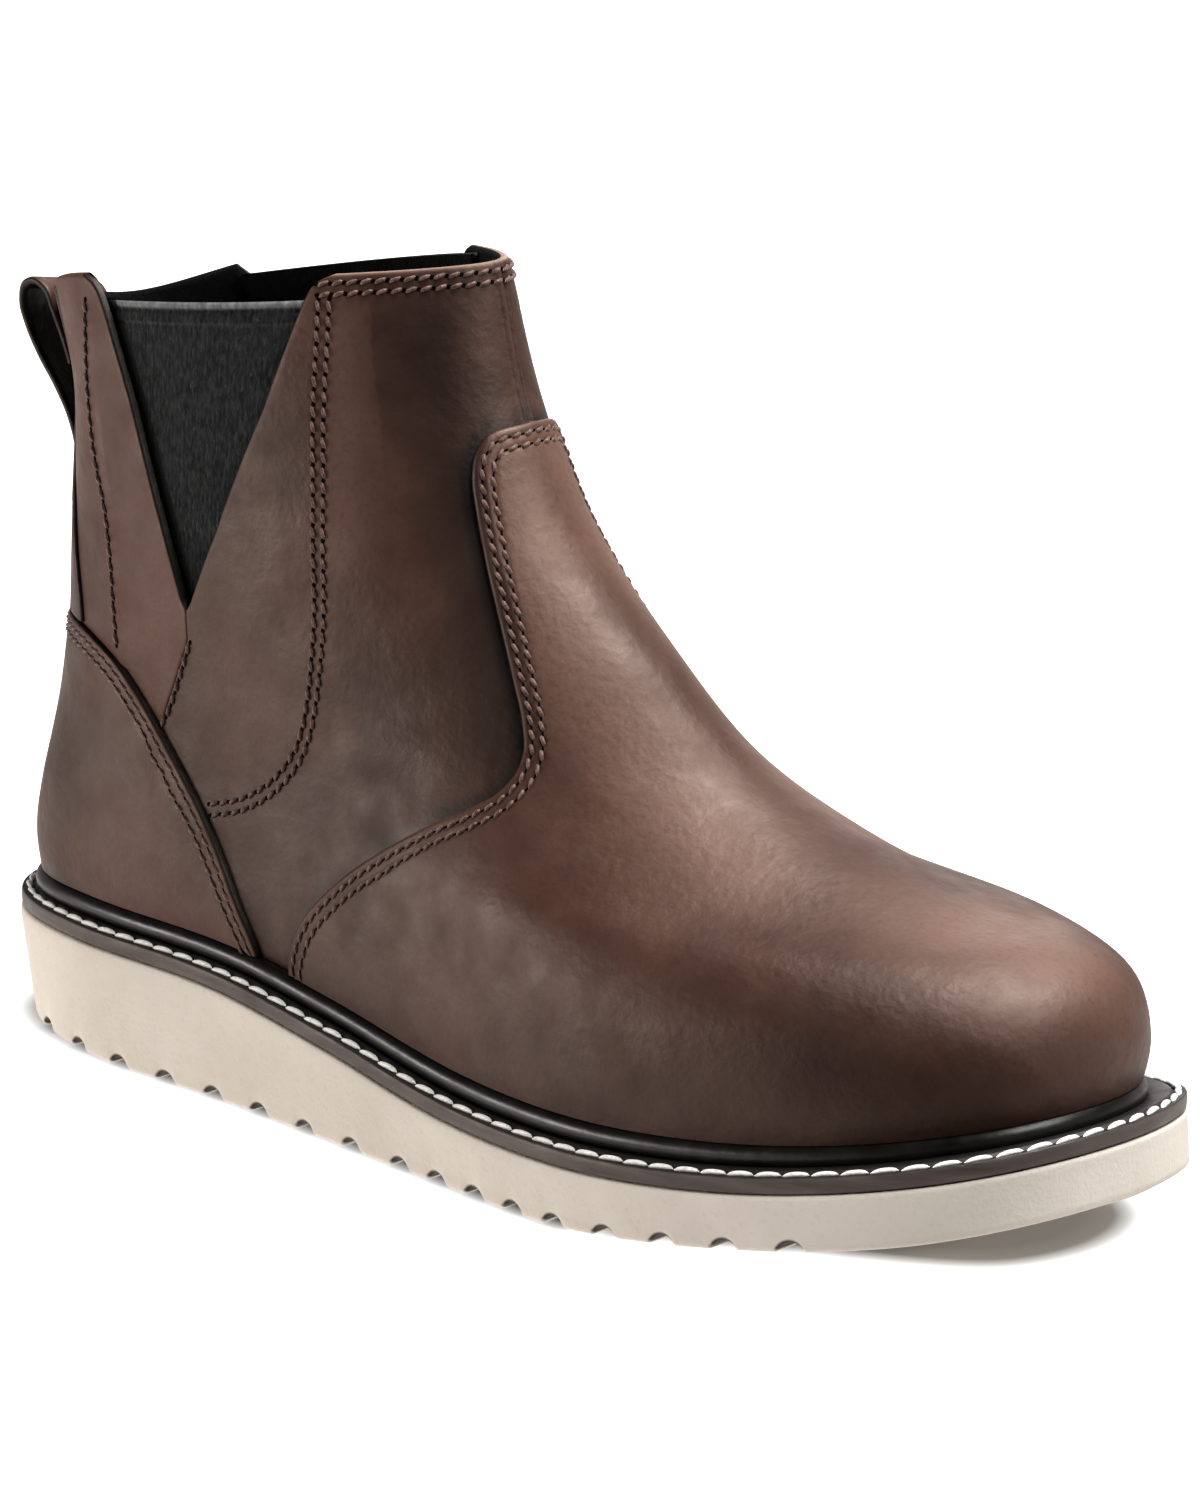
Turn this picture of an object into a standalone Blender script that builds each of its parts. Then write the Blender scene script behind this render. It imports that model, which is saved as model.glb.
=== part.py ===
"""Chelsea work boot for the right foot, as separate pieces, in metres with +Z up.

The boot is laid out in millimetres from the back of the heel: X runs to the toe, Y to the inner
side of the foot and Z up from the floor. `place` moves that into the frame of the part.
"""
from collections import namedtuple

import bmesh
import bpy
import numpy as np

for left_over in list(bpy.data.objects):
    bpy.data.objects.remove(left_over, do_unlink=True)

# Driving sizes, in millimetres
HEEL_X = 3.4
TOE_X = 306.0
FIT_GAP = 0.3
WELT_HEIGHT = 4.2
WELT_WIDTH = 13.0
RAND_WIDTH = 3.4
LEATHER = 2.2
OVERLAY = 1.4
GORE_THICKNESS = 1.6
INSOLE_THICKNESS = 3.0
LOOP_THICKNESS = 1.8
LOOP_HALF_WIDTH = 9.5
GROOVE_RADIUS = 3.3
GROOVE_DEPTH = 2.0

# How finely the curved pieces are faceted
AROUND_UPPER = 52
AROUND_SOLE = 60
ROWS_UPPER = 20

# Plan stations: where along a ring, from its back to its front, the half widths are given
PLAN_STATIONS = np.arange(9) / 8.0

SoleStation = namedtuple("SoleStation", "x middle_y top_z tread_z")
SOLE = (
    SoleStation(0, 0.0, 24.0, 0.0),
    SoleStation(46, 0.3, 25.2, 0.0),
    SoleStation(92, -1.0, 24.2, 0.0),
    SoleStation(128, -2.7, 19.8, 0.0),
    SoleStation(165, -3.8, 14.4, 0.0),
    SoleStation(201, -1.7, 13.2, 0.3),
    SoleStation(244, 1.6, 16.0, 4.9),
    SoleStation(281, 3.6, 22.2, 11.8),
    SoleStation(306, 4.0, 28.1, 18.7),
)
SOLE_HALF_WIDTHS = (0.0, 23.2, 36.6, 39.0, 43.8, 52.4, 48.2, 31.5, 0.0)


def smooth(stations, values, at):
    """Smooth curve through a short table, or through a stack of rings."""
    stations = np.asarray(stations, float)
    values = np.asarray(values, float)
    slopes = np.gradient(values, stations, axis=0)
    at = np.clip(np.asarray(at, float), stations[0], stations[-1])
    low = np.clip(np.searchsorted(stations, at, side="right") - 1, 0, len(stations) - 2)
    span = stations[low + 1] - stations[low]
    part = (at - stations[low]) / span
    shape = part.shape + (1,) * (values.ndim - 1)
    part = part.reshape(shape)
    span = span.reshape(shape)
    rest = 1.0 - part
    start = values[low] * (1 + 2 * part) * rest ** 2 + slopes[low] * span * part * rest ** 2
    end = values[low + 1] * part ** 2 * (3 - 2 * part) - slopes[low + 1] * span * part ** 2 * rest
    return start + end


def sole_value(column, x):
    return smooth([row.x for row in SOLE], [getattr(row, column) for row in SOLE], x)


def sole_top(x):
    return sole_value("top_z", x)


def tread(x):
    return np.maximum(0.0, sole_value("tread_z", x))


def welt_top(x):
    return sole_top(x) + FIT_GAP + WELT_HEIGHT


# The upper: one row per ring from the feather edge to the collar. Each ring runs from a point at
# the back of the boot to a point on the front ridge; the seven half widths lie between them.
Ring = namedtuple(
    "Ring",
    "back_x back_z front_x front_z follow swing lean dip "
    "heel_round heel ankle waist ball toe_side toe_round",
)
UPPER = (
    Ring(12.0, 28.0, 296, 29.5, 1.00, 0.0, 0.0, 0.0, 20.9, 30.2, 31.5, 36.0, 44.0, 40.0, 24.0),
    Ring(10.8, 42.0, 298, 43.0, 0.90, 0.0, 0.0, 0.0, 22.0, 31.6, 33.5, 38.0, 46.0, 42.0, 26.0),
    Ring(13.0, 54.0, 294, 54.7, 0.70, 1.0, 0.0, 0.0, 21.8, 31.2, 33.5, 37.5, 45.5, 41.0, 24.5),
    Ring(15.3, 64.0, 283, 60.6, 0.45, 2.0, 0.0, 0.0, 20.5, 30.2, 33.0, 36.0, 42.0, 36.0, 20.0),
    Ring(17.3, 72.0, 264, 62.9, 0.20, 2.5, 0.0, 0.0, 19.4, 29.2, 32.5, 35.0, 37.0, 28.3, 15.3),
    Ring(19.0, 80.0, 236, 70.2, 0.00, 2.5, 0.0, 0.0, 18.3, 28.2, 32.0, 34.0, 33.0, 24.0, 12.8),
    Ring(20.9, 92.0, 207, 81.8, 0.00, 2.0, 0.0, 0.0, 17.2, 27.5, 31.5, 33.5, 31.0, 22.5, 11.5),
    Ring(22.6, 107.0, 180.3, 102.6, 0.00, 1.5, 0.0, 0.0, 16.8, 27.0, 31.5, 33.5, 30.0, 21.5, 11.0),
    Ring(23.7, 124.0, 156.5, 126.5, 0.00, 1.0, -0.7, 0.0, 15.6, 25.7, 30.6, 33.0, 30.5, 22.0, 11.5),
    Ring(23.8, 143.0, 144.5, 150.0, 0.00, 1.5, -1.6, 1.5, 14.4, 24.0, 29.2, 31.3, 29.0, 21.0, 11.0),
    Ring(17.5, 168.0, 135.0, 181.5, 0.00, 3.0, -3.0, 10.2, 12.5, 21.8, 27.2, 29.0, 26.0, 17.8, 8.4),
)
# The collar dips at the back, most of all just to the inner side of the back seam
DIP_AT = 0.55
DIP_SPREAD = 0.12


def ring_points(ring, around):
    """Points of one ring; around is 0 at the front, 0.25 outer side, 0.5 back, 0.75 inner side."""
    turn = np.abs(1.0 - 2.0 * around)
    side = np.where(around < 0.5, -1.0, 1.0)
    share = (1.0 - np.cos(np.pi * turn)) / 2.0
    x = ring.back_x + (ring.front_x - ring.back_x) * share
    half = smooth(PLAN_STATIONS, (0.0,) + ring[8:] + (0.0,), turn)
    low, high = welt_top(ring.back_x), welt_top(ring.front_x)
    dip = welt_top(x) - low - (high - low) * share
    y = ring.follow * sole_value("middle_y", x) + side * half
    y += ring.swing * share ** 2 + ring.lean * (1.0 - share) ** 2
    z = ring.back_z + (ring.front_z - ring.back_z) * share + ring.follow * dip
    z -= ring.dip * np.exp(-((around - DIP_AT) / DIP_SPREAD) ** 2)
    z = np.maximum(z, welt_top(x) + FIT_GAP)
    return np.stack([x, y, z], axis=-1)


def ring_heights():
    """Share of the way up the upper at which each ring lies, by mean distance."""
    around = np.arange(64) / 64.0
    rings = np.stack([ring_points(ring, around) for ring in UPPER])
    steps = np.linalg.norm(np.diff(rings, axis=0), axis=2).mean(axis=1)
    heights = np.concatenate([[0.0], np.cumsum(steps)])
    return heights / heights[-1]


RING_HEIGHTS = ring_heights()


def upper_points(around, height):
    rings = np.stack([ring_points(ring, np.mod(around, 1.0)) for ring in UPPER])
    return smooth(RING_HEIGHTS, rings, height).swapaxes(0, 1)


def upper_surface(around, height, offset=0.0):
    """Grid of points on the upper, moved out by the offset; indexed by around, then height."""
    around = np.asarray(around, float)
    height = np.asarray(height, float)
    points = upper_points(around, height)
    step = 0.0005
    along = upper_points(around + step, height) - upper_points(around - step, height)
    up = upper_points(around, height + step) - upper_points(around, height - step)
    normal = np.cross(up, along)
    normal /= np.linalg.norm(normal, axis=2, keepdims=True)
    moved = points + offset * normal
    foot = height <= 0.0
    moved[:, foot, 2] = welt_top(moved[:, foot, 0]) + FIT_GAP
    return moved


def sole_loop(back_x, front_x, narrower, count=AROUND_SOLE):
    """Plan outline of the sole, from the toe round the outer side to the heel and back."""
    around = np.arange(count) / count
    turn = np.abs(1.0 - 2.0 * around)
    side = np.where(around < 0.5, -1.0, 1.0)
    x = back_x + (front_x - back_x) * (1.0 - np.cos(np.pi * turn)) / 2.0
    half = smooth(PLAN_STATIONS, SOLE_HALF_WIDTHS, turn)
    half = half * (1.0 - narrower / max(SOLE_HALF_WIDTHS))
    return np.stack([x, sole_value("middle_y", x) + side * half], axis=-1)


def inset(loop, distance):
    """Plan outline moved inwards, square to itself."""
    along = np.roll(loop, -1, axis=0) - np.roll(loop, 1, axis=0)
    along /= np.linalg.norm(along, axis=1, keepdims=True)
    inward = np.stack([along[:, 1], -along[:, 0]], axis=-1)
    towards_middle = np.sum(inward * (loop.mean(axis=0) - loop), axis=1).sum()
    return loop + inward * distance * np.sign(towards_middle)


SOLE_EDGE = sole_loop(HEEL_X, TOE_X, 0.0)
MIDDLE_Y = (SOLE_EDGE[:, 1].min() + SOLE_EDGE[:, 1].max()) / 2.0


def place(points):
    """From millimetres behind the heel to metres about the middle of the floor box."""
    return (np.asarray(points, float) - ((HEEL_X + TOE_X) / 2.0, MIDDLE_Y, 0.0)) * 0.001


def material(name, colour, roughness):
    made = bpy.data.materials.new(name)
    made.use_nodes = True
    shader = made.node_tree.nodes["Principled BSDF"]
    shader.inputs["Base Color"].default_value = (*colour, 1.0)
    shader.inputs["Roughness"].default_value = roughness
    made.diffuse_color = (*colour, 1.0)
    return made


def piece(name, points, faces, colour=(0.5, 0.5, 0.5), roughness=0.6):
    """One closed mesh object with its own material."""
    mesh = bpy.data.meshes.new(name)
    mesh.from_pydata(place(points).tolist(), [], [tuple(int(i) for i in face) for face in faces])
    work = bmesh.new()
    work.from_mesh(mesh)
    bmesh.ops.recalc_face_normals(work, faces=work.faces)
    work.to_mesh(mesh)
    work.free()
    mesh.materials.append(material(name, colour, roughness))
    made = bpy.data.objects.new(name, mesh)
    bpy.context.scene.collection.objects.link(made)
    return made


def wall_faces(around, rows, first, closed):
    faces = []
    for i in range(around if closed else around - 1):
        k = (i + 1) % around
        for j in range(rows - 1):
            faces.append((first + i * rows + j, first + k * rows + j,
                          first + k * rows + j + 1, first + i * rows + j + 1))
    return faces


def shell(name, outer, inner, closed, **look):
    """Closed wall between an outer and an inner grid of points."""
    around, rows = outer.shape[:2]
    second = around * rows
    faces = wall_faces(around, rows, 0, closed) + wall_faces(around, rows, second, closed)
    for i in range(around if closed else around - 1):
        a, b = i * rows, (i + 1) % around * rows
        for j in (0, rows - 1):
            faces.append((a + j, b + j, second + b + j, second + a + j))
    if not closed:
        for i in (0, around - 1):
            for j in range(rows - 1):
                a = i * rows + j
                faces.append((a, a + 1, second + a + 1, second + a))
    points = np.concatenate([outer.reshape(-1, 3), inner.reshape(-1, 3)])
    return piece(name, points, faces, **look)


def hoop(name, sections, **look):
    """Closed ring swept through a closed cross section; indexed by around, then section point."""
    around, corners = sections.shape[:2]
    faces = []
    for i in range(around):
        a, b = i * corners, (i + 1) % around * corners
        for j in range(corners):
            k = (j + 1) % corners
            faces.append((a + j, b + j, b + k, a + k))
    return piece(name, sections.reshape(-1, 3), faces, **look)


def slab(name, loops, **look):
    """Closed plate from a stack of outlines, capped by strips from the outer to the inner side."""
    count = len(loops[0])
    half = count // 2
    faces = []
    for level in range(len(loops) - 1):
        a, b = level * count, (level + 1) * count
        for i in range(count):
            k = (i + 1) % count
            faces.append((a + i, a + k, b + k, b + i))
    for a in (0, (len(loops) - 1) * count):
        faces.append((a, a + 1, a + count - 1))
        faces.append((a + half - 1, a + half, a + half + 1))
        for i in range(1, half - 1):
            faces.append((a + i, a + i + 1, a + count - i - 1, a + count - i))
    return piece(name, np.concatenate(loops), faces, **look)


def side_tool(name, outline, from_y, to_y):
    """Cutting body with a side view outline, reaching from one side of the boot to the other."""
    count = len(outline)
    near = [(x, from_y, z) for x, z in outline]
    far = [(x, to_y, z) for x, z in outline]
    faces = [tuple(range(count)), tuple(range(count, 2 * count))]
    for i in range(count):
        k = (i + 1) % count
        faces.append((i, k, count + k, count + i))
    tool = piece(name, near + far, faces)
    return hide(tool)


def hide(tool):
    tool.hide_render = True
    tool.display_type = "WIRE"
    return tool


def carve(target, tool, operation):
    change = target.modifiers.new(tool.name, "BOOLEAN")
    change.operation = operation
    change.solver = "EXACT"
    change.object = tool


def curve(points, count):
    """Smooth side view line through a few points."""
    points = np.asarray(points, float)
    steps = np.linalg.norm(np.diff(points, axis=0), axis=1)
    along = np.concatenate([[0.0], np.cumsum(steps)])
    return smooth(along, points, np.linspace(0.0, along[-1], count))


UPPER_AROUND = np.arange(AROUND_UPPER) / AROUND_UPPER
UPPER_HEIGHT = np.linspace(0.0, 1.0, ROWS_UPPER + 1)

# Outsole: cream wedge, drawn in under the heel, with cross grooves in the tread
tread_edge = sole_loop(HEEL_X + 4.0, TOE_X - 1.6, 0.8)
tread_rim = inset(tread_edge, 1.0)
outsole = slab(
    "outsole",
    [
        np.column_stack([tread_rim, tread(tread_rim[:, 0])]),
        np.column_stack([tread_edge, tread(tread_edge[:, 0]) + 1.0]),
        np.column_stack([SOLE_EDGE, sole_top(SOLE_EDGE[:, 0]) - 3.0]),
        np.column_stack([SOLE_EDGE, sole_top(SOLE_EDGE[:, 0])]),
    ],
    colour=(0.75, 0.68, 0.60),
    roughness=0.7,
)

GrooveRun = namedtuple("GrooveRun", "first_x pitch count")
GROOVES = (
    GrooveRun(29.0, 15.4, 8),
    GrooveRun(153.0, 12.1, 5),
    GrooveRun(215.5, 14.6, 4),
)
groove_points = []
groove_faces = []
turns = np.arange(12) / 12.0 * 2.0 * np.pi
for run in GROOVES:
    for k in range(run.count):
        groove_x = run.first_x + run.pitch * k
        groove_z = float(tread(groove_x)) + GROOVE_DEPTH - GROOVE_RADIUS
        first = len(groove_points)
        for groove_y in (-80.0, 80.0):
            for turn in turns:
                groove_points.append((
                    groove_x + GROOVE_RADIUS * np.sin(turn),
                    groove_y,
                    groove_z + GROOVE_RADIUS * np.cos(turn),
                ))
        groove_faces.append(tuple(range(first, first + 12)))
        groove_faces.append(tuple(range(first + 12, first + 24)))
        for i in range(12):
            j = (i + 1) % 12
            groove_faces.append((first + i, first + j, first + 12 + j, first + 12 + i))
groove_tool = hide(piece("groove_tool", groove_points, groove_faces))
carve(outsole, groove_tool, "DIFFERENCE")

# Welt: dark strip on the outsole, with a shallow channel for the stitches
WeltCorner = namedtuple("WeltCorner", "inset height")
WELT = (
    WeltCorner(0.4, 0.0),
    WeltCorner(0.2, 2.2),
    WeltCorner(0.6, WELT_HEIGHT),
    WeltCorner(2.0, WELT_HEIGHT),
    WeltCorner(2.3, WELT_HEIGHT - 0.6),
    WeltCorner(3.5, WELT_HEIGHT - 0.6),
    WeltCorner(3.8, WELT_HEIGHT),
    WeltCorner(WELT_WIDTH, WELT_HEIGHT),
    WeltCorner(WELT_WIDTH, 0.0),
)
welt_lines = []
for corner in WELT:
    line = inset(SOLE_EDGE, corner.inset)
    welt_lines.append(np.column_stack([line, sole_top(line[:, 0]) + FIT_GAP + corner.height]))
welt = hoop("welt", np.stack(welt_lines, axis=1), colour=(0.07, 0.055, 0.05), roughness=0.6)

# Upper: one hollow leather shell, with a V for the elastic in each side
upper = shell(
    "upper",
    upper_surface(UPPER_AROUND, UPPER_HEIGHT),
    upper_surface(UPPER_AROUND, UPPER_HEIGHT, -LEATHER),
    closed=True,
    colour=(0.12, 0.06, 0.045),
    roughness=0.5,
)
# V for the elastic in each side, as a side view outline from the back corner at the collar down to
# the point and up to the front corner; the corners of the leather are rounded
V_BACK_OUTER = (
    (39.5, 190.0), (40.5, 170.6), (44.5, 169.2), (47.3, 166.9), (49.5, 163.4), (59.0, 145.0),
)
V_BACK_INNER = (
    (36.0, 190.0), (37.5, 167.0), (40.5, 164.4), (44.5, 161.8), (50.5, 156.2), (59.0, 145.0),
)
V_FRONT = (
    (69.4, 121.5), (75.8, 105.5), (77.0, 103.4), (78.3, 105.5), (87.4, 122.8), (98.4, 149.8),
    (102.1, 162.7), (104.8, 172.8), (105.7, 175.2), (107.5, 177.2), (111.0, 179.0), (114.0, 190.0),
)
opening_outer = side_tool("opening_outer", V_BACK_OUTER + V_FRONT, -80.0, 0.0)
opening_inner = side_tool("opening_inner", V_BACK_INNER + V_FRONT, 0.0, 80.0)
carve(upper, opening_outer, "DIFFERENCE")
carve(upper, opening_inner, "DIFFERENCE")

# Gores: elastic panels behind the V, lying against the inside of the leather
GoreTop = namedtuple("GoreTop", "name first last back_z front_z")
GORE_TOPS = (
    GoreTop("gore_lateral", 5, 23, 164.4, 174.2),
    GoreTop("gore_medial", 29, 47, 160.8, 176.0),
)
GORE_SIDES = (
    (52.5, 143.0), (63.5, 120.0), (73.0, 97.0), (77.3, 92.5), (82.0, 97.0), (93.0, 120.0),
    (106.0, 150.0),
)
gore_inside = -LEATHER - FIT_GAP
for top in GORE_TOPS:
    gore_around = np.arange(top.first, top.last) / AROUND_UPPER
    gore_height = UPPER_HEIGHT[9:]
    gore = shell(
        top.name,
        upper_surface(gore_around, gore_height, gore_inside),
        upper_surface(gore_around, gore_height, gore_inside - GORE_THICKNESS),
        closed=False,
        colour=(0.012, 0.012, 0.014),
        roughness=0.9,
    )
    gore_edge = ((41.5, top.back_z),) + GORE_SIDES + ((114.5, top.front_z),)
    carve(gore, side_tool(top.name + "_outline", gore_edge, -80.0, 80.0), "INTERSECT")

# Rand: rounded black bead on the welt, against the foot of the upper
RandCorner = namedtuple("RandCorner", "rise out")
RAND_RISE = 0.022
RAND = (
    RandCorner(0.0, FIT_GAP),
    RandCorner(0.0, RAND_WIDTH - 0.3),
    RandCorner(0.55, RAND_WIDTH),
    RandCorner(0.90, RAND_WIDTH - 0.9),
    RandCorner(1.05, 1.3),
    RandCorner(1.0, FIT_GAP),
)
rand_lines = []
for corner in RAND:
    rand_lines.append(upper_surface(UPPER_AROUND, [corner.rise * RAND_RISE], corner.out)[:, 0])
rand = hoop("rand", np.stack(rand_lines, axis=1), colour=(0.012, 0.011, 0.011), roughness=0.3)

# Overlays start above the rand and lie on the outside of the upper
OVERLAY_FOOT = RAND_RISE * 1.05 + 0.003


def overlay(name, columns, rows):
    around = np.asarray(columns) / AROUND_UPPER
    return shell(
        name,
        upper_surface(around, rows, FIT_GAP + OVERLAY),
        upper_surface(around, rows, FIT_GAP),
        closed=False,
        colour=(0.13, 0.065, 0.05),
        roughness=0.5,
    )


# Vamp: over the toes and instep, up to a tab at the throat
VAMP_EDGE = (
    (110.4, 30.0), (111.4, 34.6), (113.1, 38.7), (117.0, 45.0), (124.5, 52.6), (133.3, 59.7),
    (141.6, 65.2), (151.5, 71.1), (160.5, 75.9), (165.3, 79.3), (167.3, 83.0), (167.4, 86.6),
    (165.4, 92.1), (160.9, 100.4), (154.3, 112.3), (148.9, 122.4), (144.5, 132.2), (142.0, 139.9),
    (141.6, 144.4), (142.7, 147.7), (145.9, 149.2), (152.0, 150.0),
)
vamp_edge = [tuple(point) for point in curve(VAMP_EDGE, 30)]
vamp_outline = side_tool(
    "vamp_outline", [(111.0, 10.0)] + vamp_edge + [(320.0, 150.0), (320.0, 10.0)], -80.0, 80.0
)
vamp_rows = np.concatenate([[OVERLAY_FOOT], UPPER_HEIGHT[1:19]])
vamp = overlay("vamp", range(-16, 17), vamp_rows)
carve(vamp, vamp_outline, "INTERSECT")

# Heel counter: round the heel, from the welt up to the ankle
COUNTER_EDGE = (
    (5.0, 93.0), (27.0, 93.0), (42.0, 91.8), (53.8, 87.6), (62.0, 81.5), (71.0, 73.0),
    (86.6, 56.5), (95.0, 43.5), (100.8, 32.0), (103.0, 20.0),
)
counter_edge = curve(COUNTER_EDGE, 18)
counter_outline = side_tool(
    "counter_outline", [tuple(point) for point in counter_edge] + [(-20.0, 20.0), (-20.0, 93.0)],
    -80.0, 80.0,
)
counter_rows = np.concatenate([[OVERLAY_FOOT], UPPER_HEIGHT[1:11]])
counter = overlay("heel_counter", range(15, 38), counter_rows)
carve(counter, counter_outline, "INTERSECT")

# Back strip: up the back seam, from the counter to the collar, wider towards its foot
STRIP_EDGE = (
    (19.5, 168.0), (22.9, 157.5), (25.4, 150.0), (27.2, 140.0), (27.8, 130.0), (28.6, 123.0),
    (30.6, 116.6), (34.4, 106.7), (37.4, 97.6), (38.4, 91.2), (39.2, 85.0),
)
strip_edge = [tuple(point) for point in curve(STRIP_EDGE, 12)]
strip_outline = side_tool(
    "strip_outline", [(-20.0, 85.0), (-20.0, 168.0)] + strip_edge, -80.0, 80.0
)
strip_rows = np.concatenate([UPPER_HEIGHT[9:20], [0.998]])
strip = overlay("back_strip", range(20, 33), strip_rows)
carve(strip, strip_outline, "INTERSECT")
strip_foot = side_tool(
    "strip_foot", [(x, z + 0.5) for x, z in counter_edge] + [(-20.0, 20.0), (-20.0, 93.5)],
    -80.0, 80.0,
)
carve(strip, strip_foot, "DIFFERENCE")

# Pull loop: strip folded over behind the collar, its ends lying on the back strip
LoopPoint = namedtuple("LoopPoint", "x y z wrap")
LOOP = (
    LoopPoint(19.8, -0.3, 112.0, 1.0),
    LoopPoint(20.5, -0.6, 121.0, 1.0),
    LoopPoint(20.3, -0.9, 127.0, 0.95),
    LoopPoint(18.6, -1.2, 133.0, 0.8),
    LoopPoint(15.2, -1.6, 139.0, 0.55),
    LoopPoint(11.2, -2.0, 144.5, 0.35),
    LoopPoint(8.2, -2.4, 150.0, 0.2),
    LoopPoint(6.8, -2.8, 155.2, 0.12),
    LoopPoint(8.0, -3.0, 159.4, 0.15),
    LoopPoint(11.2, -3.0, 160.8, 0.3),
    LoopPoint(13.8, -2.8, 159.8, 0.6),
    LoopPoint(15.2, -2.7, 157.0, 0.9),
    LoopPoint(17.1, -2.4, 152.6, 1.0),
    LoopPoint(18.9, -2.1, 148.0, 1.0),
    LoopPoint(19.8, -1.9, 145.0, 1.0),
)
BACK_RADIUS = 27.0
LOOP_LEAN = 0.15
loop_steps = np.linalg.norm(np.diff([(point.x, point.z) for point in LOOP], axis=0), axis=1)
loop_stations = np.concatenate([[0.0], np.cumsum(loop_steps)])
loop_path = smooth(loop_stations, LOOP, np.linspace(0.0, loop_stations[-1], 22))
loop_x, loop_y, loop_z, loop_wrap = loop_path.T
loop_along = np.gradient(np.column_stack([loop_x, loop_z]), axis=0)
loop_along /= np.linalg.norm(loop_along, axis=1, keepdims=True)
loop_faces = []
for side in (0.5, -0.5):
    lane = []
    for across in np.linspace(-LOOP_HALF_WIDTH, LOOP_HALF_WIDTH, 5):
        out = LOOP_THICKNESS * side
        lane.append(np.column_stack([
            loop_x - loop_along[:, 1] * out + loop_wrap * across ** 2 / (2.0 * BACK_RADIUS),
            loop_y + across,
            loop_z + loop_along[:, 0] * out - LOOP_LEAN * (1.0 - loop_wrap) * across,
        ]))
    loop_faces.append(np.stack(lane, axis=1))
loop = shell("pull_loop", *loop_faces, closed=False, colour=(0.12, 0.06, 0.045), roughness=0.5)

# Insole: board inside, on the welt
insole_edge = upper_surface(UPPER_AROUND, [0.0], -LEATHER - 0.6)[:, 0, :2]
insole_foot = welt_top(insole_edge[:, 0]) + FIT_GAP
insole = slab(
    "insole",
    [
        np.column_stack([insole_edge, insole_foot]),
        np.column_stack([insole_edge, insole_foot + INSOLE_THICKNESS]),
    ],
    colour=(0.03, 0.028, 0.027),
    roughness=0.9,
)
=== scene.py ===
import bpy
import numpy as np
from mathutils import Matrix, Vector, geometry, kdtree


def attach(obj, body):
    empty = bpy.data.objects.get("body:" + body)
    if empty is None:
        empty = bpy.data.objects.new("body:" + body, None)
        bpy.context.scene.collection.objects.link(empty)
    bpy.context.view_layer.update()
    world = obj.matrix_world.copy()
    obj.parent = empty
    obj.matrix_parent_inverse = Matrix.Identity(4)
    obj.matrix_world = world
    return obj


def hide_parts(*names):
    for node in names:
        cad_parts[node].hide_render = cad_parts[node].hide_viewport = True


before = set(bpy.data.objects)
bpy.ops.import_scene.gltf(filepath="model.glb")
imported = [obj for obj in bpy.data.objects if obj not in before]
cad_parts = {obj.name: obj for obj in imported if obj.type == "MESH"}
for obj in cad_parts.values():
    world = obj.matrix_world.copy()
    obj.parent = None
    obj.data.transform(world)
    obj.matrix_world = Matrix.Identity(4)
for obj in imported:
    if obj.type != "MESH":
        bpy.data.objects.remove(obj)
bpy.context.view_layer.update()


# Outsole: one wedge of cream foam rubber, thick under the heel and turned up at the toe.
# It is moulded with cross grooves in the tread, which show as round notches along its lower edge.
# Every size is in millimetres from the back of the heel: X to the toe, Y to the inner side, Z up.
heel_x, toe_x, middle_y = 3.4, 306.0, -0.0482
origin = np.array(((heel_x + toe_x) / 2.0, middle_y, 0.0))
metres = 0.001
fit_gap = 0.3
sole_x = (0, 46, 92, 128, 165, 201, 244, 281, 306)
sole_middle = (0.0, 0.3, -1.0, -2.7, -3.8, -1.7, 1.6, 3.6, 4.0)
sole_top = (24.0, 25.2, 24.2, 19.8, 14.4, 13.2, 16.0, 22.2, 28.1)
sole_tread = (0.0, 0.0, 0.0, 0.0, 0.0, 0.2, 4.2, 10.2, 16.4)
sole_half_widths = (0.0, 23.2, 36.6, 39.0, 43.8, 52.4, 48.2, 31.5, 0.0)
plan_stations = np.arange(9) / 8.0
groove_runs = ((29.0, 15.4, 8), (153.0, 12.1, 5), (215.5, 14.6, 4))  # first x, pitch, how many
groove_radius, groove_depth = 3.3, 2.0


def eased(first, second, first_slope, second_slope, span, part):
    """Cubic from one value to the next over a span, with the slopes at both ends."""
    rest = 1.0 - part
    start = first * (1 + 2 * part) * rest ** 2 + first_slope * span * part * rest ** 2
    end = second * part ** 2 * (3 - 2 * part) - second_slope * span * part ** 2 * rest
    return start + end


def smooth(stations, values, at):
    """Smooth curve through a short table."""
    stations = np.asarray(stations, float)
    values = np.asarray(values, float)
    slopes = np.gradient(values, stations, axis=0)
    at = np.clip(np.asarray(at, float), stations[0], stations[-1])
    low = np.clip(np.searchsorted(stations, at, side="right") - 1, 0, len(stations) - 2)
    span = stations[low + 1] - stations[low]
    part = (at - stations[low]) / span
    shape = part.shape + (1,) * (values.ndim - 1)
    part, span = part.reshape(shape), span.reshape(shape)
    return eased(values[low], values[low + 1], slopes[low], slopes[low + 1], span, part)


def top_of_sole(x):
    """Height of the outsole's upper face at x."""
    return smooth(sole_x, sole_top, x)


def sole_outline(back_x, front_x, narrower, count):
    """Plan outline of the sole, from the toe round the outer side to the heel and back."""
    around = np.arange(count) / count
    turn = np.abs(1.0 - 2.0 * around)
    side = np.where(around < 0.5, -1.0, 1.0)
    x = back_x + (front_x - back_x) * (1.0 - np.cos(np.pi * turn)) / 2.0
    half = smooth(plan_stations, sole_half_widths, turn) * (1.0 - narrower / max(sole_half_widths))
    return np.stack([x, smooth(sole_x, sole_middle, x) + side * half], axis=-1)


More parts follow.
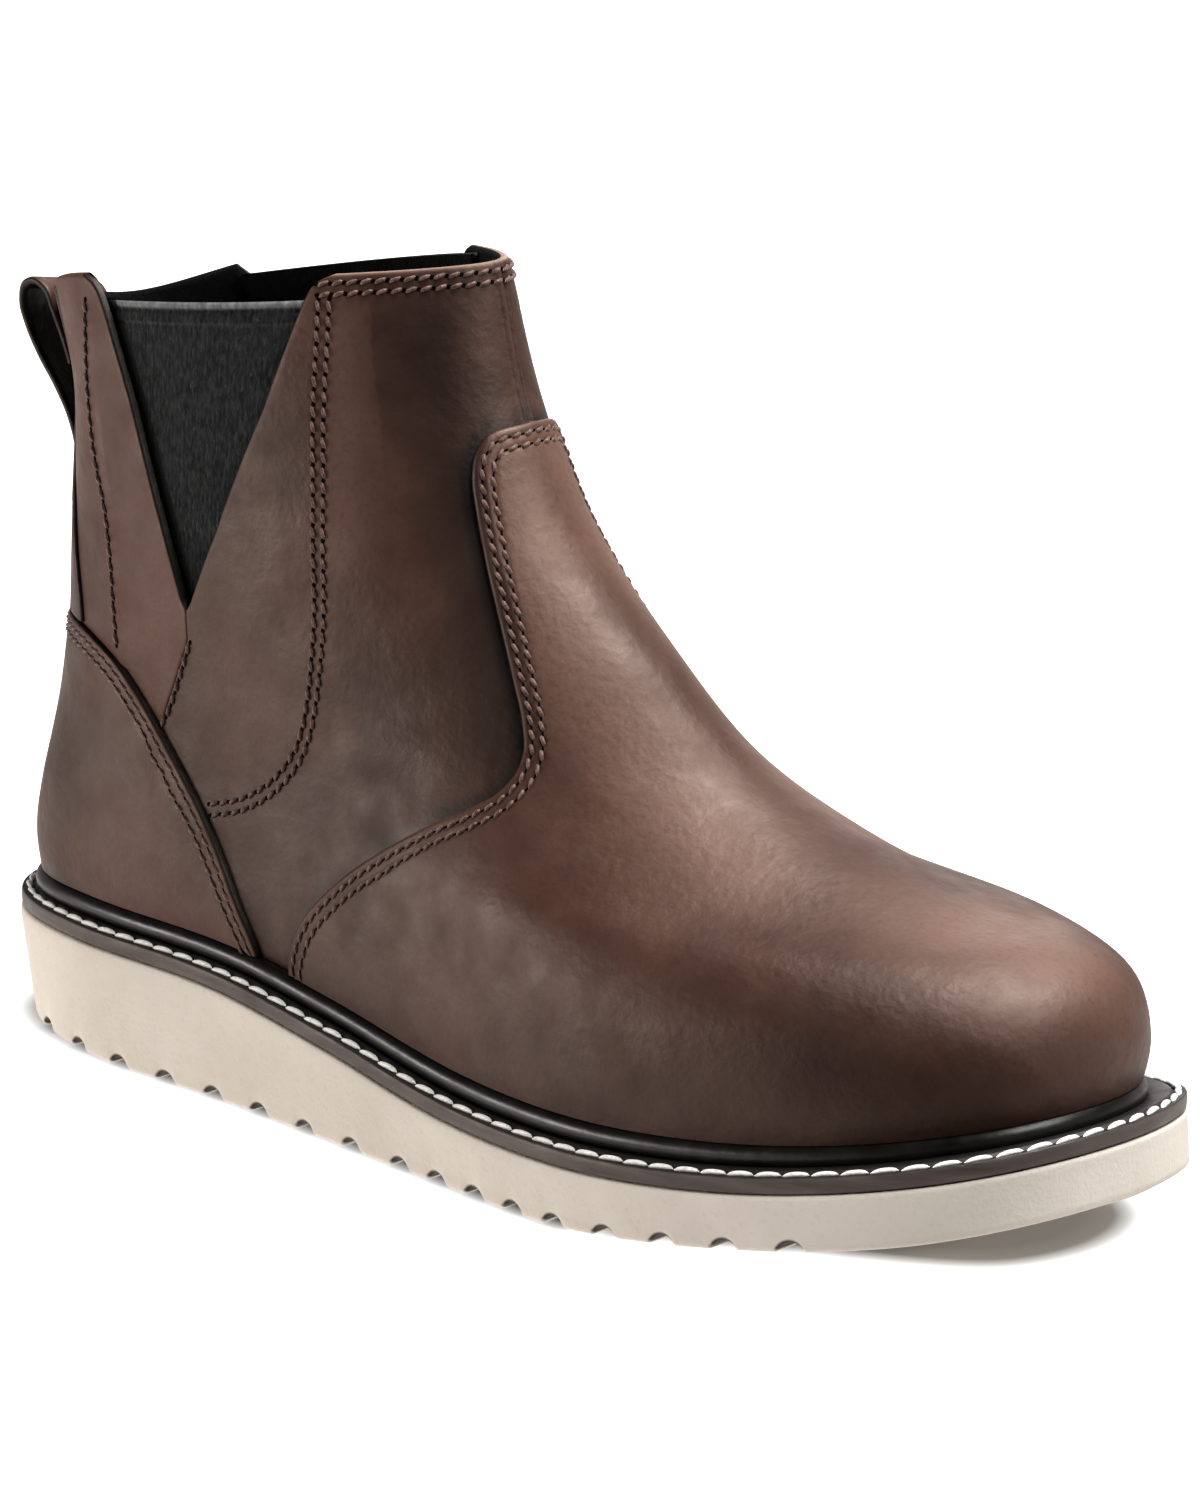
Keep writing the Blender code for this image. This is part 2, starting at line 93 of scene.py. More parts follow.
def drawn_in(loop, distance):
    """Plan outline moved inwards, square to itself."""
    along = np.roll(loop, -1, axis=0) - np.roll(loop, 1, axis=0)
    along /= np.linalg.norm(along, axis=1, keepdims=True)
    return loop + distance * np.stack([along[:, 1], -along[:, 0]], axis=-1)


def grid_faces(columns, rows, closed=False, capped=False):
    """Quads of a grid stored column by column; closed joins the columns, capped joins the rows."""
    column, row = np.meshgrid(np.arange(columns if closed else columns - 1),
                              np.arange(rows if capped else rows - 1), indexing="ij")
    here, beside = column * rows, (column + 1) % columns * rows
    above = (row + 1) % rows
    return np.stack([here + row, here + above, beside + above, beside + row], axis=-1).reshape(-1, 4).tolist()


def closing_faces(columns, rows, row):
    """Faces that close one row of a closed grid from side to side."""
    faces = []
    for i in range(columns // 2):
        corners = dict.fromkeys([i, i + 1, -(i + 1) % columns, -i % columns])
        faces.append([corner * rows + row for corner in corners])
    return faces


def turned_over(faces):
    """The same faces, pointing the other way."""
    return [face[::-1] for face in faces]


def make_mesh(name, points, faces, finish, **marks):
    """Mesh object in the frame of the part; marks are numbers kept on its points for its finish."""
    shape = bpy.data.meshes.new(name)
    shape.from_pydata(((np.asarray(points, float) - origin) * metres).tolist(), [], faces)
    shape.shade_smooth()
    shape.materials.append(finish)
    for mark, values in marks.items():
        kept = shape.attributes.new(mark, "FLOAT", "POINT")
        kept.data.foreach_set("value", np.asarray(values, np.float32))
    made = bpy.data.objects.new(name, shape)
    bpy.context.scene.collection.objects.link(made)
    return made


def make_piece(name, points, faces, finish, **marks):
    """Mesh object that belongs to the boot."""
    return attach(make_mesh(name, points, faces, finish, **marks), "root")


def node(tree, kind, links=(), **settings):
    """Node with its settings; links are (input, value or output of another node) pairs."""
    made = tree.nodes.new("ShaderNode" + kind)
    for setting, value in settings.items():
        setattr(made, setting, value)
    for socket, value in links:
        if isinstance(value, bpy.types.NodeSocket):
            tree.links.new(value, made.inputs[socket])
        else:
            made.inputs[socket].default_value = value
    return made


def new_finish(name, **sockets):
    """Material, its node tree and the object's own coordinates there; sockets are set on its shader."""
    finish = bpy.data.materials.new(name)
    finish.use_nodes = True
    shader = finish.node_tree.nodes["Principled BSDF"]
    for socket, value in sockets.items():
        shader.inputs[socket.replace("_", " ")].default_value = value
    return finish, finish.node_tree, node(finish.node_tree, "TexCoord").outputs["Object"]


def wire(tree, **sockets):
    """Lead the outputs of nodes into the sockets of the shader."""
    shader = tree.nodes["Principled BSDF"]
    for socket, output in sockets.items():
        tree.links.new(output, shader.inputs[socket.replace("_", " ")])


def mark_of(tree, name):
    """Number kept on the points of the mesh."""
    return node(tree, "Attribute", attribute_name=name).outputs["Fac"]


def ranged(tree, value, low, high, to_low=0.0, to_high=1.0, **settings):
    """Value spread from low..high to to_low..to_high."""
    links = [(0, value), (1, low), (2, high), (3, to_low), (4, to_high)]
    return node(tree, "MapRange", links, **settings).outputs[0]


def cloudy(tree, place, size, detail, low, high, to_low=0.0, to_high=1.0, **noise):
    """Noise with features of about size millimetres, spread from low..high to to_low..to_high."""
    links = [("Vector", place), ("Scale", 1.0 / (size * metres)), ("Detail", detail)]
    links += [(key.capitalize(), value) for key, value in noise.items()]
    return ranged(tree, node(tree, "TexNoise", links).outputs[0], low, high, to_low, to_high)


def mixed(tree, share, first, second):
    """Colour between two others."""
    return node(tree, "Mix", [(0, share), (6, first), (7, second)], data_type="RGBA").outputs[2]


def bumped(tree, height, distance, strength, under=None):
    """Bump of a distance in millimetres, on top of another."""
    links = [("Height", height), ("Distance", distance * metres), ("Strength", strength)]
    return node(tree, "Bump", links + ([("Normal", under)] if under else [])).outputs[0]


def groove_rise(x):
    """How far the tread is cut away above the floor at x."""
    rise = np.zeros_like(x)
    for first_x, pitch, count in groove_runs:
        for groove_x in first_x + pitch * np.arange(count):
            reach = np.clip(groove_radius ** 2 - (x - groove_x) ** 2, 0.0, None)
            rise = np.maximum(rise, np.sqrt(reach) - groove_radius + groove_depth)
    return rise


sole_columns = 1400
sole_edge = sole_outline(heel_x, toe_x, 0.0, sole_columns)
tread_edge = sole_outline(heel_x + 4.0, toe_x + 0.8, narrower=0.4, count=sole_columns)
foot_z = np.maximum(0.0, smooth(sole_x, sole_tread, tread_edge[:, 0])) + groove_rise(tread_edge[:, 0])
sole_rows = []
for inward, rise in ((1.4, 0.0), (0.7, 0.15), (0.25, 0.5), (0.0, 1.1)):
    sole_rows.append(np.column_stack([drawn_in(tread_edge, inward), foot_z + rise]))
wall_foot = sole_rows[-1]
wall_drop = 2.6
wall_head = np.column_stack([sole_edge, top_of_sole(sole_edge[:, 0]) - wall_drop])
for share in (0.12, 0.26, 0.42, 0.58, 0.74, 0.88, 1.0):
    sole_rows.append(wall_foot + (wall_head - wall_foot) * share)
for inward, drop in ((0.0, 1.2), (0.1, 0.5), (0.4, 0.12), (0.9, 0.0), (14.0, 0.0)):
    line = drawn_in(sole_edge, inward)
    sole_rows.append(np.column_stack([line, top_of_sole(line[:, 0]) - drop]))
sole_points = np.stack(sole_rows, axis=1)
rows = len(sole_rows)
sole_faces = grid_faces(sole_columns, rows, closed=True) + closing_faces(sole_columns, rows, 0)
sole_faces += turned_over(closing_faces(sole_columns, rows, rows - 1))

foam, tree, place = new_finish("cream_foam_rubber", Specular_IOR_Level=0.35)
tone = mixed(tree, cloudy(tree, place, 38, 4, 0.35, 0.68), (0.60, 0.556, 0.50, 1), (0.68, 0.636, 0.576, 1))
# Darker over the lowest 4 mm of the sole
height_up = node(tree, "SeparateXYZ", [(0, place)]).outputs[2]
scuffed = ranged(tree, height_up, 0.004, 0.0, 0.0, 0.4)
tone = mixed(tree, scuffed, tone, (0.54, 0.46, 0.39, 1))
tone = mixed(tree, cloudy(tree, place, 1.6, 4, 0.56, 0.74, 0.0, 0.22), tone, (0.52, 0.45, 0.38, 1))
# Painted shade in the tread grooves: near-black where they are cut away
tone = mixed(tree, mark_of(tree, "grooved"), tone, (0.055, 0.045, 0.038, 1))
pebble = bumped(tree, cloudy(tree, place, 0.9, 5, 0.3, 0.7), 0.12, 0.5)
waves = bumped(tree, cloudy(tree, place, 14, 2, 0.3, 0.7), 0.25, 0.5, under=pebble)
wire(tree, Base_Color=tone, Roughness=cloudy(tree, place, 9, 4, 0.3, 0.7, 0.58, 0.74), Normal=waves)

# Painted shade in the grooves: the lowest rows of the sole darken where the tread is cut away, fully from
# half a millimetre up
dark_from = 0.5
in_groove = np.zeros((sole_columns, rows))
in_groove[:, :3] = np.clip(groove_rise(tread_edge[:, 0]) / dark_from, 0.0, 1.0)[:, None]
outsole = make_piece("outsole_foam", sole_points.reshape(-1, 3), sole_faces, foam, grooved=in_groove.ravel())
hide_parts("outsole")


# Welt: a dark rubber strip cemented round the top of the outsole, flush with its edge.
# A shallow channel for the stitches runs along it close to the outer edge.
welt_height = 4.2
welt_section = (
    # distance in from the edge, height
    (0.5, 0.0), (0.28, 0.3), (0.2, 1.2), (0.2, 2.4), (0.26, 3.0), (0.42, 3.36), (0.7, 3.5), (1.0, 3.42),
    (1.4, 3.34), (2.0, 3.32), (2.6, 3.34), (2.95, 3.45), (3.2, 3.75), (3.45, 4.05), (3.8, 4.18),
    (4.4, 4.2), (13.0, 4.2), (13.0, 0.0),
)
welt_columns = 1000
welt_edge = sole_outline(heel_x, toe_x, 0.0, welt_columns)


def welt_line(inward, height):
    """Line round the welt, at a distance in from its edge and a height over the outsole."""
    line = drawn_in(welt_edge, inward)
    return np.column_stack([line, top_of_sole(line[:, 0]) + fit_gap + height])


welt_points = np.stack([welt_line(inward, height) for inward, height in welt_section], axis=1)
dark_rubber, tree, place = new_finish("dark_welt_rubber", Specular_IOR_Level=0.45)
drawn = node(tree, "Mapping", [(0, place), (3, (0.25, 0.25, 2.2))]).outputs[0]
tone = mixed(tree, cloudy(tree, drawn, 5, 5, 0.3, 0.7), (0.085, 0.068, 0.062, 1), (0.135, 0.112, 0.104, 1))
facing_up = node(tree, "SeparateXYZ", [(0, node(tree, "NewGeometry").outputs["Normal"])]).outputs[2]
tone = mixed(tree, ranged(tree, facing_up, 0.35, 0.9), tone, (0.034, 0.030, 0.028, 1))
wire(tree, Base_Color=tone, Roughness=cloudy(tree, place, 6, 4, 0.3, 0.7, 0.42, 0.58),
     Normal=bumped(tree, cloudy(tree, drawn, 1.4, 5, 0.3, 0.7), 0.12, 0.5))

welt_faces = grid_faces(welt_columns, len(welt_section), closed=True, capped=True)
welt = make_piece("welt_strip", welt_points.reshape(-1, 3), welt_faces, dark_rubber)
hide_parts("welt")


# Welt stitches: thick waxed white thread, sewn down through welt and sole by machine.
# Each stitch lies in the channel, bows up in the middle and dips into its hole at both ends.
def path_steps(points):
    """Distance along a line of points, from its start to each of them."""
    return np.concatenate([[0.0], np.cumsum(np.linalg.norm(np.diff(points, axis=0), axis=1))])


def thread_path(line, normals, pitch):
    """How many stitches fit a line, how long it is, and a way to find point, up and across along it."""
    steps = path_steps(line)
    across = np.cross(normals, np.gradient(line, axis=0))
    across /= np.linalg.norm(across, axis=1, keepdims=True)

    def found(at):
        return [np.stack([np.interp(at, steps, part[:, k]) for k in range(3)], axis=-1)
                for part in (line, normals, across)]

    return max(1, int(round(steps[-1] / pitch))), steps[-1], found


def tube_faces(rings, corners):
    """Faces of a tube with both of its ends closed."""
    ends = [list(range(corners)), list(range((rings - 1) * corners, rings * corners))[::-1]]
    return grid_faces(rings, corners, capped=True) + ends


def sewn(line, normals, pitch, length, width, height, lean, sink):
    """Stitches along a line of points: corner points and faces of all of them."""
    count, line_length, found = thread_path(line, normals, pitch)
    middles = (np.arange(count) + 0.5) * line_length / count
    rings, corners = 9, 8
    bluntness, tip, flatness = 3.2, 0.03, 0.8
    along = np.linspace(-0.5, 0.5, rings)
    girth = np.sqrt(np.clip(1.0 - np.abs(2 * along) ** bluntness, tip, None))
    rise = height * (1.0 - (2 * along) ** 2) - sink
    turns = np.arange(corners) / corners * 2 * np.pi
    spine, up, out = found(middles[:, None] + along * length)
    spine = spine + up * rise[:, None] + out * (lean * along)[:, None]
    tube = spine[:, :, None] + (girth[:, None, None] * width / 2) * (
        out[:, :, None] * np.cos(turns)[:, None] + flatness * up[:, :, None] * np.sin(turns)[:, None])
    faces = []
    one = tube_faces(rings, corners)
    for k in range(count):
        faces += [[corner + k * rings * corners for corner in face] for face in one]
    return tube.reshape(-1, 3), faces


def joined(parts):
    """Several lots of points and faces as one."""
    points, faces, first = [], [], 0
    for part_points, part_faces in parts:
        points.append(part_points)
        faces += [[corner + first for corner in face] for face in part_faces]
        first += len(part_points)
    return np.concatenate(points), faces


def thread_finish(name, dark, light):
    """Waxed thread with a faint fuzz."""
    finish, tree, place = new_finish(name, Roughness=0.5, Sheen_Weight=0.25, Sheen_Roughness=0.5)
    wire(tree, Base_Color=mixed(tree, cloudy(tree, place, 0.9, 3, 0.3, 0.7), dark, light),
         Normal=bumped(tree, cloudy(tree, place, 0.35, 2, 0.3, 0.7), 0.1, 0.6))
    return finish


channel_inset, channel_height = 2.0, 3.32
channel = welt_line(channel_inset, channel_height)
channel = np.concatenate([channel, channel[:1]])
straight_up = np.tile((0.0, 0.0, 1.0), (len(channel), 1))
white_thread = thread_finish("white_waxed_thread", (0.74, 0.72, 0.68, 1), (0.92, 0.91, 0.88, 1))
welt_sewing = sewn(channel, straight_up, pitch=6.3, length=5.75, width=1.45, height=0.35, lean=0.55,
                   sink=-0.12)
make_piece("welt_stitches", *welt_sewing, white_thread)


# Front quarters: the leather of the shaft in front of the elastic, joined down the middle of the front.
# Brown oiled cowhide about 2 mm thick, its cut edges inked black along the V and left raw at the collar.
ring_table = np.array([
    # back x, back z, front x, front z, follow, swing, lean, dip, then half widths from the heel to the toe
    (12.0, 28.0, 296, 29.5, 1.00, 0.0, 0.0, 0.0, 20.9, 30.2, 31.5, 36.0, 44.0, 40.0, 24.0),
    (10.8, 42.0, 298, 43.0, 0.90, 0.0, 0.0, 0.0, 22.0, 31.6, 33.5, 38.0, 46.0, 42.0, 26.0),
    (13.0, 54.0, 294, 54.7, 0.70, 1.0, 0.0, 0.0, 21.8, 31.2, 33.5, 37.5, 45.5, 41.0, 24.5),
    (15.3, 64.0, 283, 60.6, 0.45, 2.0, 0.0, 0.0, 20.5, 30.2, 33.0, 36.0, 42.0, 36.0, 20.0),
    (17.3, 72.0, 264, 62.9, 0.20, 2.5, 0.0, 0.0, 19.4, 29.2, 32.5, 35.0, 37.0, 28.3, 15.3),
    (19.0, 80.0, 236, 70.2, 0.00, 2.5, 0.0, 0.0, 18.3, 28.2, 32.0, 34.0, 33.0, 24.0, 12.8),
    (20.9, 92.0, 207, 81.8, 0.00, 2.0, 0.0, 0.0, 17.2, 27.5, 31.5, 33.5, 31.0, 22.5, 11.5),
    (22.6, 107.0, 180.3, 102.6, 0.00, 1.5, 0.0, 0.0, 16.8, 27.0, 31.5, 33.5, 30.0, 21.5, 11.0),
    (23.7, 124.0, 156.5, 126.5, 0.00, 1.0, -0.7, 0.0, 15.6, 25.7, 30.6, 33.0, 30.5, 22.0, 11.5),
    (23.8, 143.0, 144.5, 150.0, 0.00, 1.5, -1.6, 1.5, 14.4, 24.0, 29.2, 31.3, 29.0, 21.0, 11.0),
    (17.5, 168.0, 135.0, 181.5, 0.00, 3.0, -3.0, 10.2, 12.5, 21.8, 27.2, 29.0, 26.0, 17.8, 8.4),
])
dip_at, dip_spread = 0.55, 0.12
upper_rise = 190.0


def welt_top(x):
    """Height of the welt's upper face at x."""
    return top_of_sole(x) + fit_gap + welt_height


def ring_points(ring, around):
    """Points of one ring; around is 0 at the front, 0.25 outer side, 0.5 back, 0.75 inner side."""
    back_x, back_z, front_x, front_z, follow, swing, lean, dip = ring[:8]
    turn = np.abs(1.0 - 2.0 * around)
    share = (1.0 - np.cos(np.pi * turn)) / 2.0
    x = back_x + (front_x - back_x) * share
    half = smooth(plan_stations, np.concatenate([[0.0], ring[8:], [0.0]]), turn)
    sag = welt_top(x) - welt_top(back_x) - (welt_top(front_x) - welt_top(back_x)) * share
    y = follow * smooth(sole_x, sole_middle, x) + np.where(around < 0.5, -half, half)
    y = y + swing * share ** 2 + lean * (1.0 - share) ** 2
    z = back_z + (front_z - back_z) * share + follow * sag
    z = np.maximum(z - dip * np.exp(-((around - dip_at) / dip_spread) ** 2), welt_top(x) + fit_gap)
    return np.stack([x, y, z], axis=-1)


ring_samples = 64
even_rings = np.stack([ring_points(ring, np.arange(ring_samples) / ring_samples) for ring in ring_table])
ring_heights = np.linalg.norm(np.diff(even_rings, axis=0), axis=2).mean(axis=1)
ring_heights = np.concatenate([[0.0], np.cumsum(ring_heights)]) / ring_heights.sum()


def last_points(around, height):
    """Points on the outside of the upper at pairs of around and height, 0 at the welt and 1 at the collar."""
    rings = np.stack([ring_points(ring, np.mod(around, 1.0)) for ring in ring_table])
    slopes = np.gradient(rings, ring_heights, axis=0)
    height = np.clip(height, 0.0, 1.0)
    low = np.clip(np.searchsorted(ring_heights, height, side="right") - 1, 0, len(ring_heights) - 2)
    each = np.arange(len(height))
    span = (ring_heights[low + 1] - ring_heights[low])[:, None]
    part = (height - ring_heights[low])[:, None] / span
    return eased(rings[low, each], rings[low + 1, each], slopes[low, each], slopes[low + 1, each], span, part)


def last_slopes(around, height):
    """How the outside of the upper runs: per unit around, per unit height, and its outward normal."""
    step = 0.0005
    above, below = np.minimum(height + step, 1.0), np.maximum(height - step, 0.0)
    along = (last_points(around + step, height) - last_points(around - step, height)) / (2 * step)
    up = (last_points(around, above) - last_points(around, below)) / (above - below)[:, None]
    normal = np.cross(up, along)
    return along, up, normal / np.linalg.norm(normal, axis=1, keepdims=True)


def side_spots(line, inner=False):
    """Around and height of points given in the side view as x, z, on the outer or the inner side."""
    line = np.asarray(line, float)
    guesses = np.meshgrid(np.linspace(0.004, 0.496, 124), np.linspace(0, 1, 90))
    around, height = (part.ravel() for part in guesses)
    around = 1.0 - around if inner else around
    rounds, least_area, most_around, most_height = 8, 1e3, 0.01, 0.02
    seen = kdtree.KDTree(len(around))
    for k, (x, _y, z) in enumerate(last_points(around, height)):
        seen.insert((x, 0.0, z), k)
    seen.balance()
    nearest = [seen.find((x, 0.0, z))[1] for x, z in line]
    around, height = around[nearest], height[nearest]
    for _ in range(rounds):
        miss = line - last_points(around, height)[:, [0, 2]]
        along, up, _normal = last_slopes(around, height)
        along, up = along[:, [0, 2]], up[:, [0, 2]]
        area = along[:, 0] * up[:, 1] - along[:, 1] * up[:, 0]
        area = np.where(np.abs(area) < least_area, least_area * np.sign(area), area)
        on = (miss[:, 0] * up[:, 1] - miss[:, 1] * up[:, 0]) / area
        rise = (along[:, 0] * miss[:, 1] - along[:, 1] * miss[:, 0]) / area
        around = around + np.clip(on, -most_around, most_around)
        height = np.clip(height + np.clip(rise, -most_height, most_height), 0, 1)
    return around, height


def row_meets(line, heights, inner=False):
    """Distance round from the front at which each row of the upper meets a rising side view line."""
    line = np.asarray(line, float)
    low, high = np.zeros(len(heights)), np.full(len(heights), 0.5)
    halvings = 36
    for _ in range(halvings):
        middle = (low + high) / 2
        spots = last_points(1.0 - middle if inner else middle, heights)
        ahead = spots[:, 0] > np.interp(spots[:, 2], line[:, 1], line[:, 0])
        low, high = np.where(ahead, middle, low), np.where(ahead, high, middle)
    return low


def curved(points, count):
    """Smooth line through a few points, evenly spaced."""
    points = np.asarray(points, float)
    steps = path_steps(points)
    return smooth(steps, points, np.linspace(0.0, steps[-1], count))


def near_line(points, line, reach):
    """Which points lie within reach of a line's box, and how far each is from the points of the line."""
    near = np.flatnonzero(((points > line.min(0) - reach) & (points < line.max(0) + reach)).all(axis=1))
    return near, np.linalg.norm(points[near, None] - line[None], axis=2)


# Folds that the ankle has worked into the leather of both sides: depth, width and side view line, a row each
line_count = 24
worn_folds = []
for inner in (False, True):
    for depth, width, line in (
        (0.9, 9.0, ((128, 172), (131, 150), (137, 128), (143, 112))),
        (0.5, 7.0, ((112, 84), (128, 88), (144, 93), (156, 99))),
        (0.4, 6.0, ((118, 72), (134, 76), (150, 83), (160, 90))),
        (-0.4, 6.0, ((116, 78), (131, 82), (147, 88), (157, 94))),
        (0.6, 6.0, ((84, 98), (96, 92), (108, 90))),
        (0.5, 7.0, ((30, 120), (42, 112), (54, 106))),
    ):
        worn_folds.append((depth, width, last_points(*side_spots(curved(line, line_count), inner))))


def fold_depth(points):
    """How far the leather stands out from the last at these points: troughs are negative."""
    out = np.zeros(len(points))
    for depth, width, line in worn_folds:
        near, away = near_line(points, line, 3 * width)
        ends = np.sin(np.pi * (away.argmin(axis=1) + 0.5) / len(line)) ** 0.7
        out[near] -= depth * ends * np.exp(-(away.min(axis=1) / width) ** 2)
    return out


def on_upper(around, height, offset):
    """Points at an offset from the outside of the upper, folds included."""
    spots = np.broadcast_arrays(around, height, offset)
    shape = spots[0].shape
    around, height, offset = (part.ravel() for part in spots)
    points = last_points(around, height)
    normal = last_slopes(around, height)[2]
    points = points + normal * (offset + fold_depth(points))[:, None]
    foot = height <= 0.0
    points[foot, 2] = welt_top(points[foot, 0]) + fit_gap
    return points.reshape(shape + (3,))


# Paler patches over instep, toe and along the V are painted highlight, and darker ones at the ankle and low
# down are painted shade, partly where the oil has moved in the leather. Each patch has a strength, paler
# above zero, a width, and a line of places round and up the upper.
worn_patches = []
for strength, width, line in (
    (0.55, 11.0, ((0.030, 0.80), (0.045, 0.73), (0.062, 0.67), (0.075, 0.61), (0.080, 0.55), (0.080, 0.49),
                  (0.085, 0.42), (0.095, 0.35))),
    (0.75, 19.0, ((0.000, 0.26), (0.000, 0.23), (0.000, 0.20))),
    (0.35, 7.0, ((0.155, 0.944), (0.158, 0.876), (0.164, 0.804), (0.176, 0.728))),
    (0.14, 12.0, ((0.300, 0.62), (0.270, 0.56), (0.255, 0.48))),
    (-0.75, 8.5, ((0.088, 0.94), (0.087, 0.874), (0.091, 0.806), (0.101, 0.734), (0.111, 0.67),
                  (0.136, 0.58), (0.151, 0.51))),
    (-0.35, 12.0, ((0.061, 0.046), (0.091, 0.070), (0.120, 0.075))),
):
    around, height = curved(line, line_count).T
    worn_patches += [(strength, width, last_points(side, height)) for side in (around, 1.0 - around)]


def worn(points):
    """How far the leather is made paler by painted highlight and moved oil, or darker by painted shade where
    below zero.
    """
    change = np.zeros(len(points))
    for strength, width, line in worn_patches:
        near, away = near_line(points, line, 2.5 * width)
        patch = strength * np.exp(-(away.min(axis=1) / width) ** 2)
        change[near] = np.where(np.abs(patch) > np.abs(change[near]), patch, change[near])
    return change


def leather_finish(name, dark, mid, light, shift, ink=(0.006, 0.005, 0.005, 1)):
    """Oiled leather with cloudy colour, fine grain and a satin wax; its paler and darker patches are painted
    highlight and shade, partly moved oil; black ink on cut edges and painted shadow beside the vamp share one
    mark; raw points are pale.
    """
    finish, tree, place = new_finish(name, Specular_IOR_Level=0.6, Specular_Tint=(1.0, 0.90, 0.83, 1))
    place = node(tree, "Mapping", [(0, place), (1, shift)]).outputs[0]
    tone = mixed(tree, cloudy(tree, place, 60, 5, 0.34, 0.66, distortion=0.4), dark, mid)
    tone = mixed(tree, cloudy(tree, place, 22, 6, 0.42, 0.72, 0.0, 0.45), tone, light)
    tone = mixed(tree, cloudy(tree, place, 6, 6, 0.46, 0.76, 0.0, 0.30), tone, dark)
    # Paler by painted highlight, darker by painted shade, partly oil moved in the leather
    change = mark_of(tree, "worn")
    tone = mixed(tree, change, tone, (0.20, 0.125, 0.098, 1))
    darker = node(tree, "Math", [(0, change), (1, -1.0)], operation="MULTIPLY").outputs[0]
    tone = mixed(tree, darker, tone, (0.018, 0.009, 0.007, 1))
    tone = mixed(tree, cloudy(tree, place, 1.1, 4, 0.50, 0.75, 0.0, 0.26), tone, dark)
    tone = mixed(tree, mark_of(tree, "raw"), tone, (0.26, 0.175, 0.14, 1))
    # Black ink on cut edges, and on the front quarters the painted shadow beside the vamp
    tone = mixed(tree, mark_of(tree, "inked"), tone, ink)
    pores = node(tree, "TexVoronoi", [("Vector", place), ("Scale", 900.0)], feature="SMOOTH_F1")
    grain = bumped(tree, pores.outputs["Distance"], 0.08, 0.30)
    grain = bumped(tree, cloudy(tree, place, 2.4, 6, 0.3, 0.7), 0.15, 0.50, under=grain)
    hide = bumped(tree, cloudy(tree, place, 14, 3, 0.3, 0.7), 0.5, 0.15, under=grain)
    wire(tree, Base_Color=tone, Roughness=cloudy(tree, place, 9, 6, 0.3, 0.7, 0.47, 0.61), Normal=hide)
    return finish


# Side view lines of the quarters: the seam below the V, then its front and its back edge
v_tip = (77.0, 103.4)
low_seam = ((60.0, 24.0), (62.0, 45.0), (65.5, 68.0), (69.0, 80.0), (72.4, 87.2), (77.0, 96.8), v_tip)
v_front = low_seam + (
    (78.3, 105.5), (87.4, 122.8), (98.4, 149.8), (102.1, 162.7), (104.8, 172.8), (105.7, 175.2),
    (107.5, 177.2), (111.0, 179.0), (114.0, 190.0),
)
v_back = low_seam + ((75.8, 105.5), (69.4, 121.5), (59.0, 145.0))
v_back_outer = v_back + ((49.5, 163.4), (47.3, 166.9), (44.5, 169.2), (40.5, 170.6), (39.5, 190.0))
v_back_inner = v_back + ((50.5, 156.2), (44.5, 161.8), (40.5, 164.4), (37.5, 167.0), (36.0, 190.0))
# Rounding of the cut edges: distance in from the edge, and how far the leather falls away there
edge_steps = np.array([0.0, 0.08, 0.22, 0.45, 0.8, 1.3, 2.0])
edge_drops = np.array([1.6, 1.0, 0.5, 0.22, 0.08, 0.02, 0.0])
edge_count = len(edge_steps)


def quarter_grid(edge_outer, edge_inner, heights, middle, half_columns, gather):
    """Around values of a quarter's grid: close columns along both edges, and gathered at its middle."""
    halves = []
    for edge in (edge_outer, edge_inner):
        along = np.linalg.norm(last_slopes(middle + edge, heights)[0], axis=1)
        close = 1.0 - edge_steps[None] / (along * np.abs(edge))[:, None]
        share = np.linspace(0.0, 1.0, half_columns)[:-1]
        share = (gather * share + (1.0 - gather) * share ** 2)[None] * close[:, -1:]
        halves.append(middle + edge[:, None] * np.concatenate([share, close[:, ::-1]], axis=1))
    return np.concatenate([halves[1][:, :0:-1], halves[0]], axis=1).T


even_rows = 150
rim_rows = [0.9895, 0.993, 0.9955, 0.9975, 0.9988, 0.9996, 1.0]
quarter_heights = np.concatenate([np.linspace(0.0, 0.986, even_rows), rim_rows])
rim_drops = np.interp((1.0 - quarter_heights) * upper_rise, edge_steps, edge_drops)
tip_height, tip_fade = side_spots([v_tip])[1][0], 0.012
in_v = np.clip((quarter_heights - tip_height) / tip_fade, 0.0, 1.0)


def quarter_drop(columns):
    """How far a quarter falls away: fully along the V and the collar, a little along the seam below."""
    edge_drop = np.zeros(columns)
    edge_drop[:edge_count], edge_drop[-edge_count:] = edge_drops, edge_drops[::-1]
    along_seam = 0.22
    return np.maximum(edge_drop[:, None] * (along_seam + (1.0 - along_seam) * in_v), rim_drops[None])


front_outer = row_meets(v_front, quarter_heights)
front_inner = row_meets(v_front, quarter_heights, inner=True)
front_around = quarter_grid(front_outer, -front_inner, quarter_heights,
                            middle=0.0, half_columns=125, gather=0.3)
columns = len(front_around)
front_height = np.tile(quarter_heights, (columns, 1))
front_slope = last_slopes(np.zeros(len(quarter_heights)), quarter_heights)[0]
from_middle = front_around * np.linalg.norm(front_slope, axis=1)
# The seam down the middle of the front: a low ridge, and a groove beside it
front_seam = 0.55 * np.exp(-((from_middle - 0.3) / 0.75) ** 2)
front_seam = front_seam - 0.65 * np.exp(-((from_middle + 1.2) / 0.6) ** 2)
front_offset = front_seam - quarter_drop(columns)
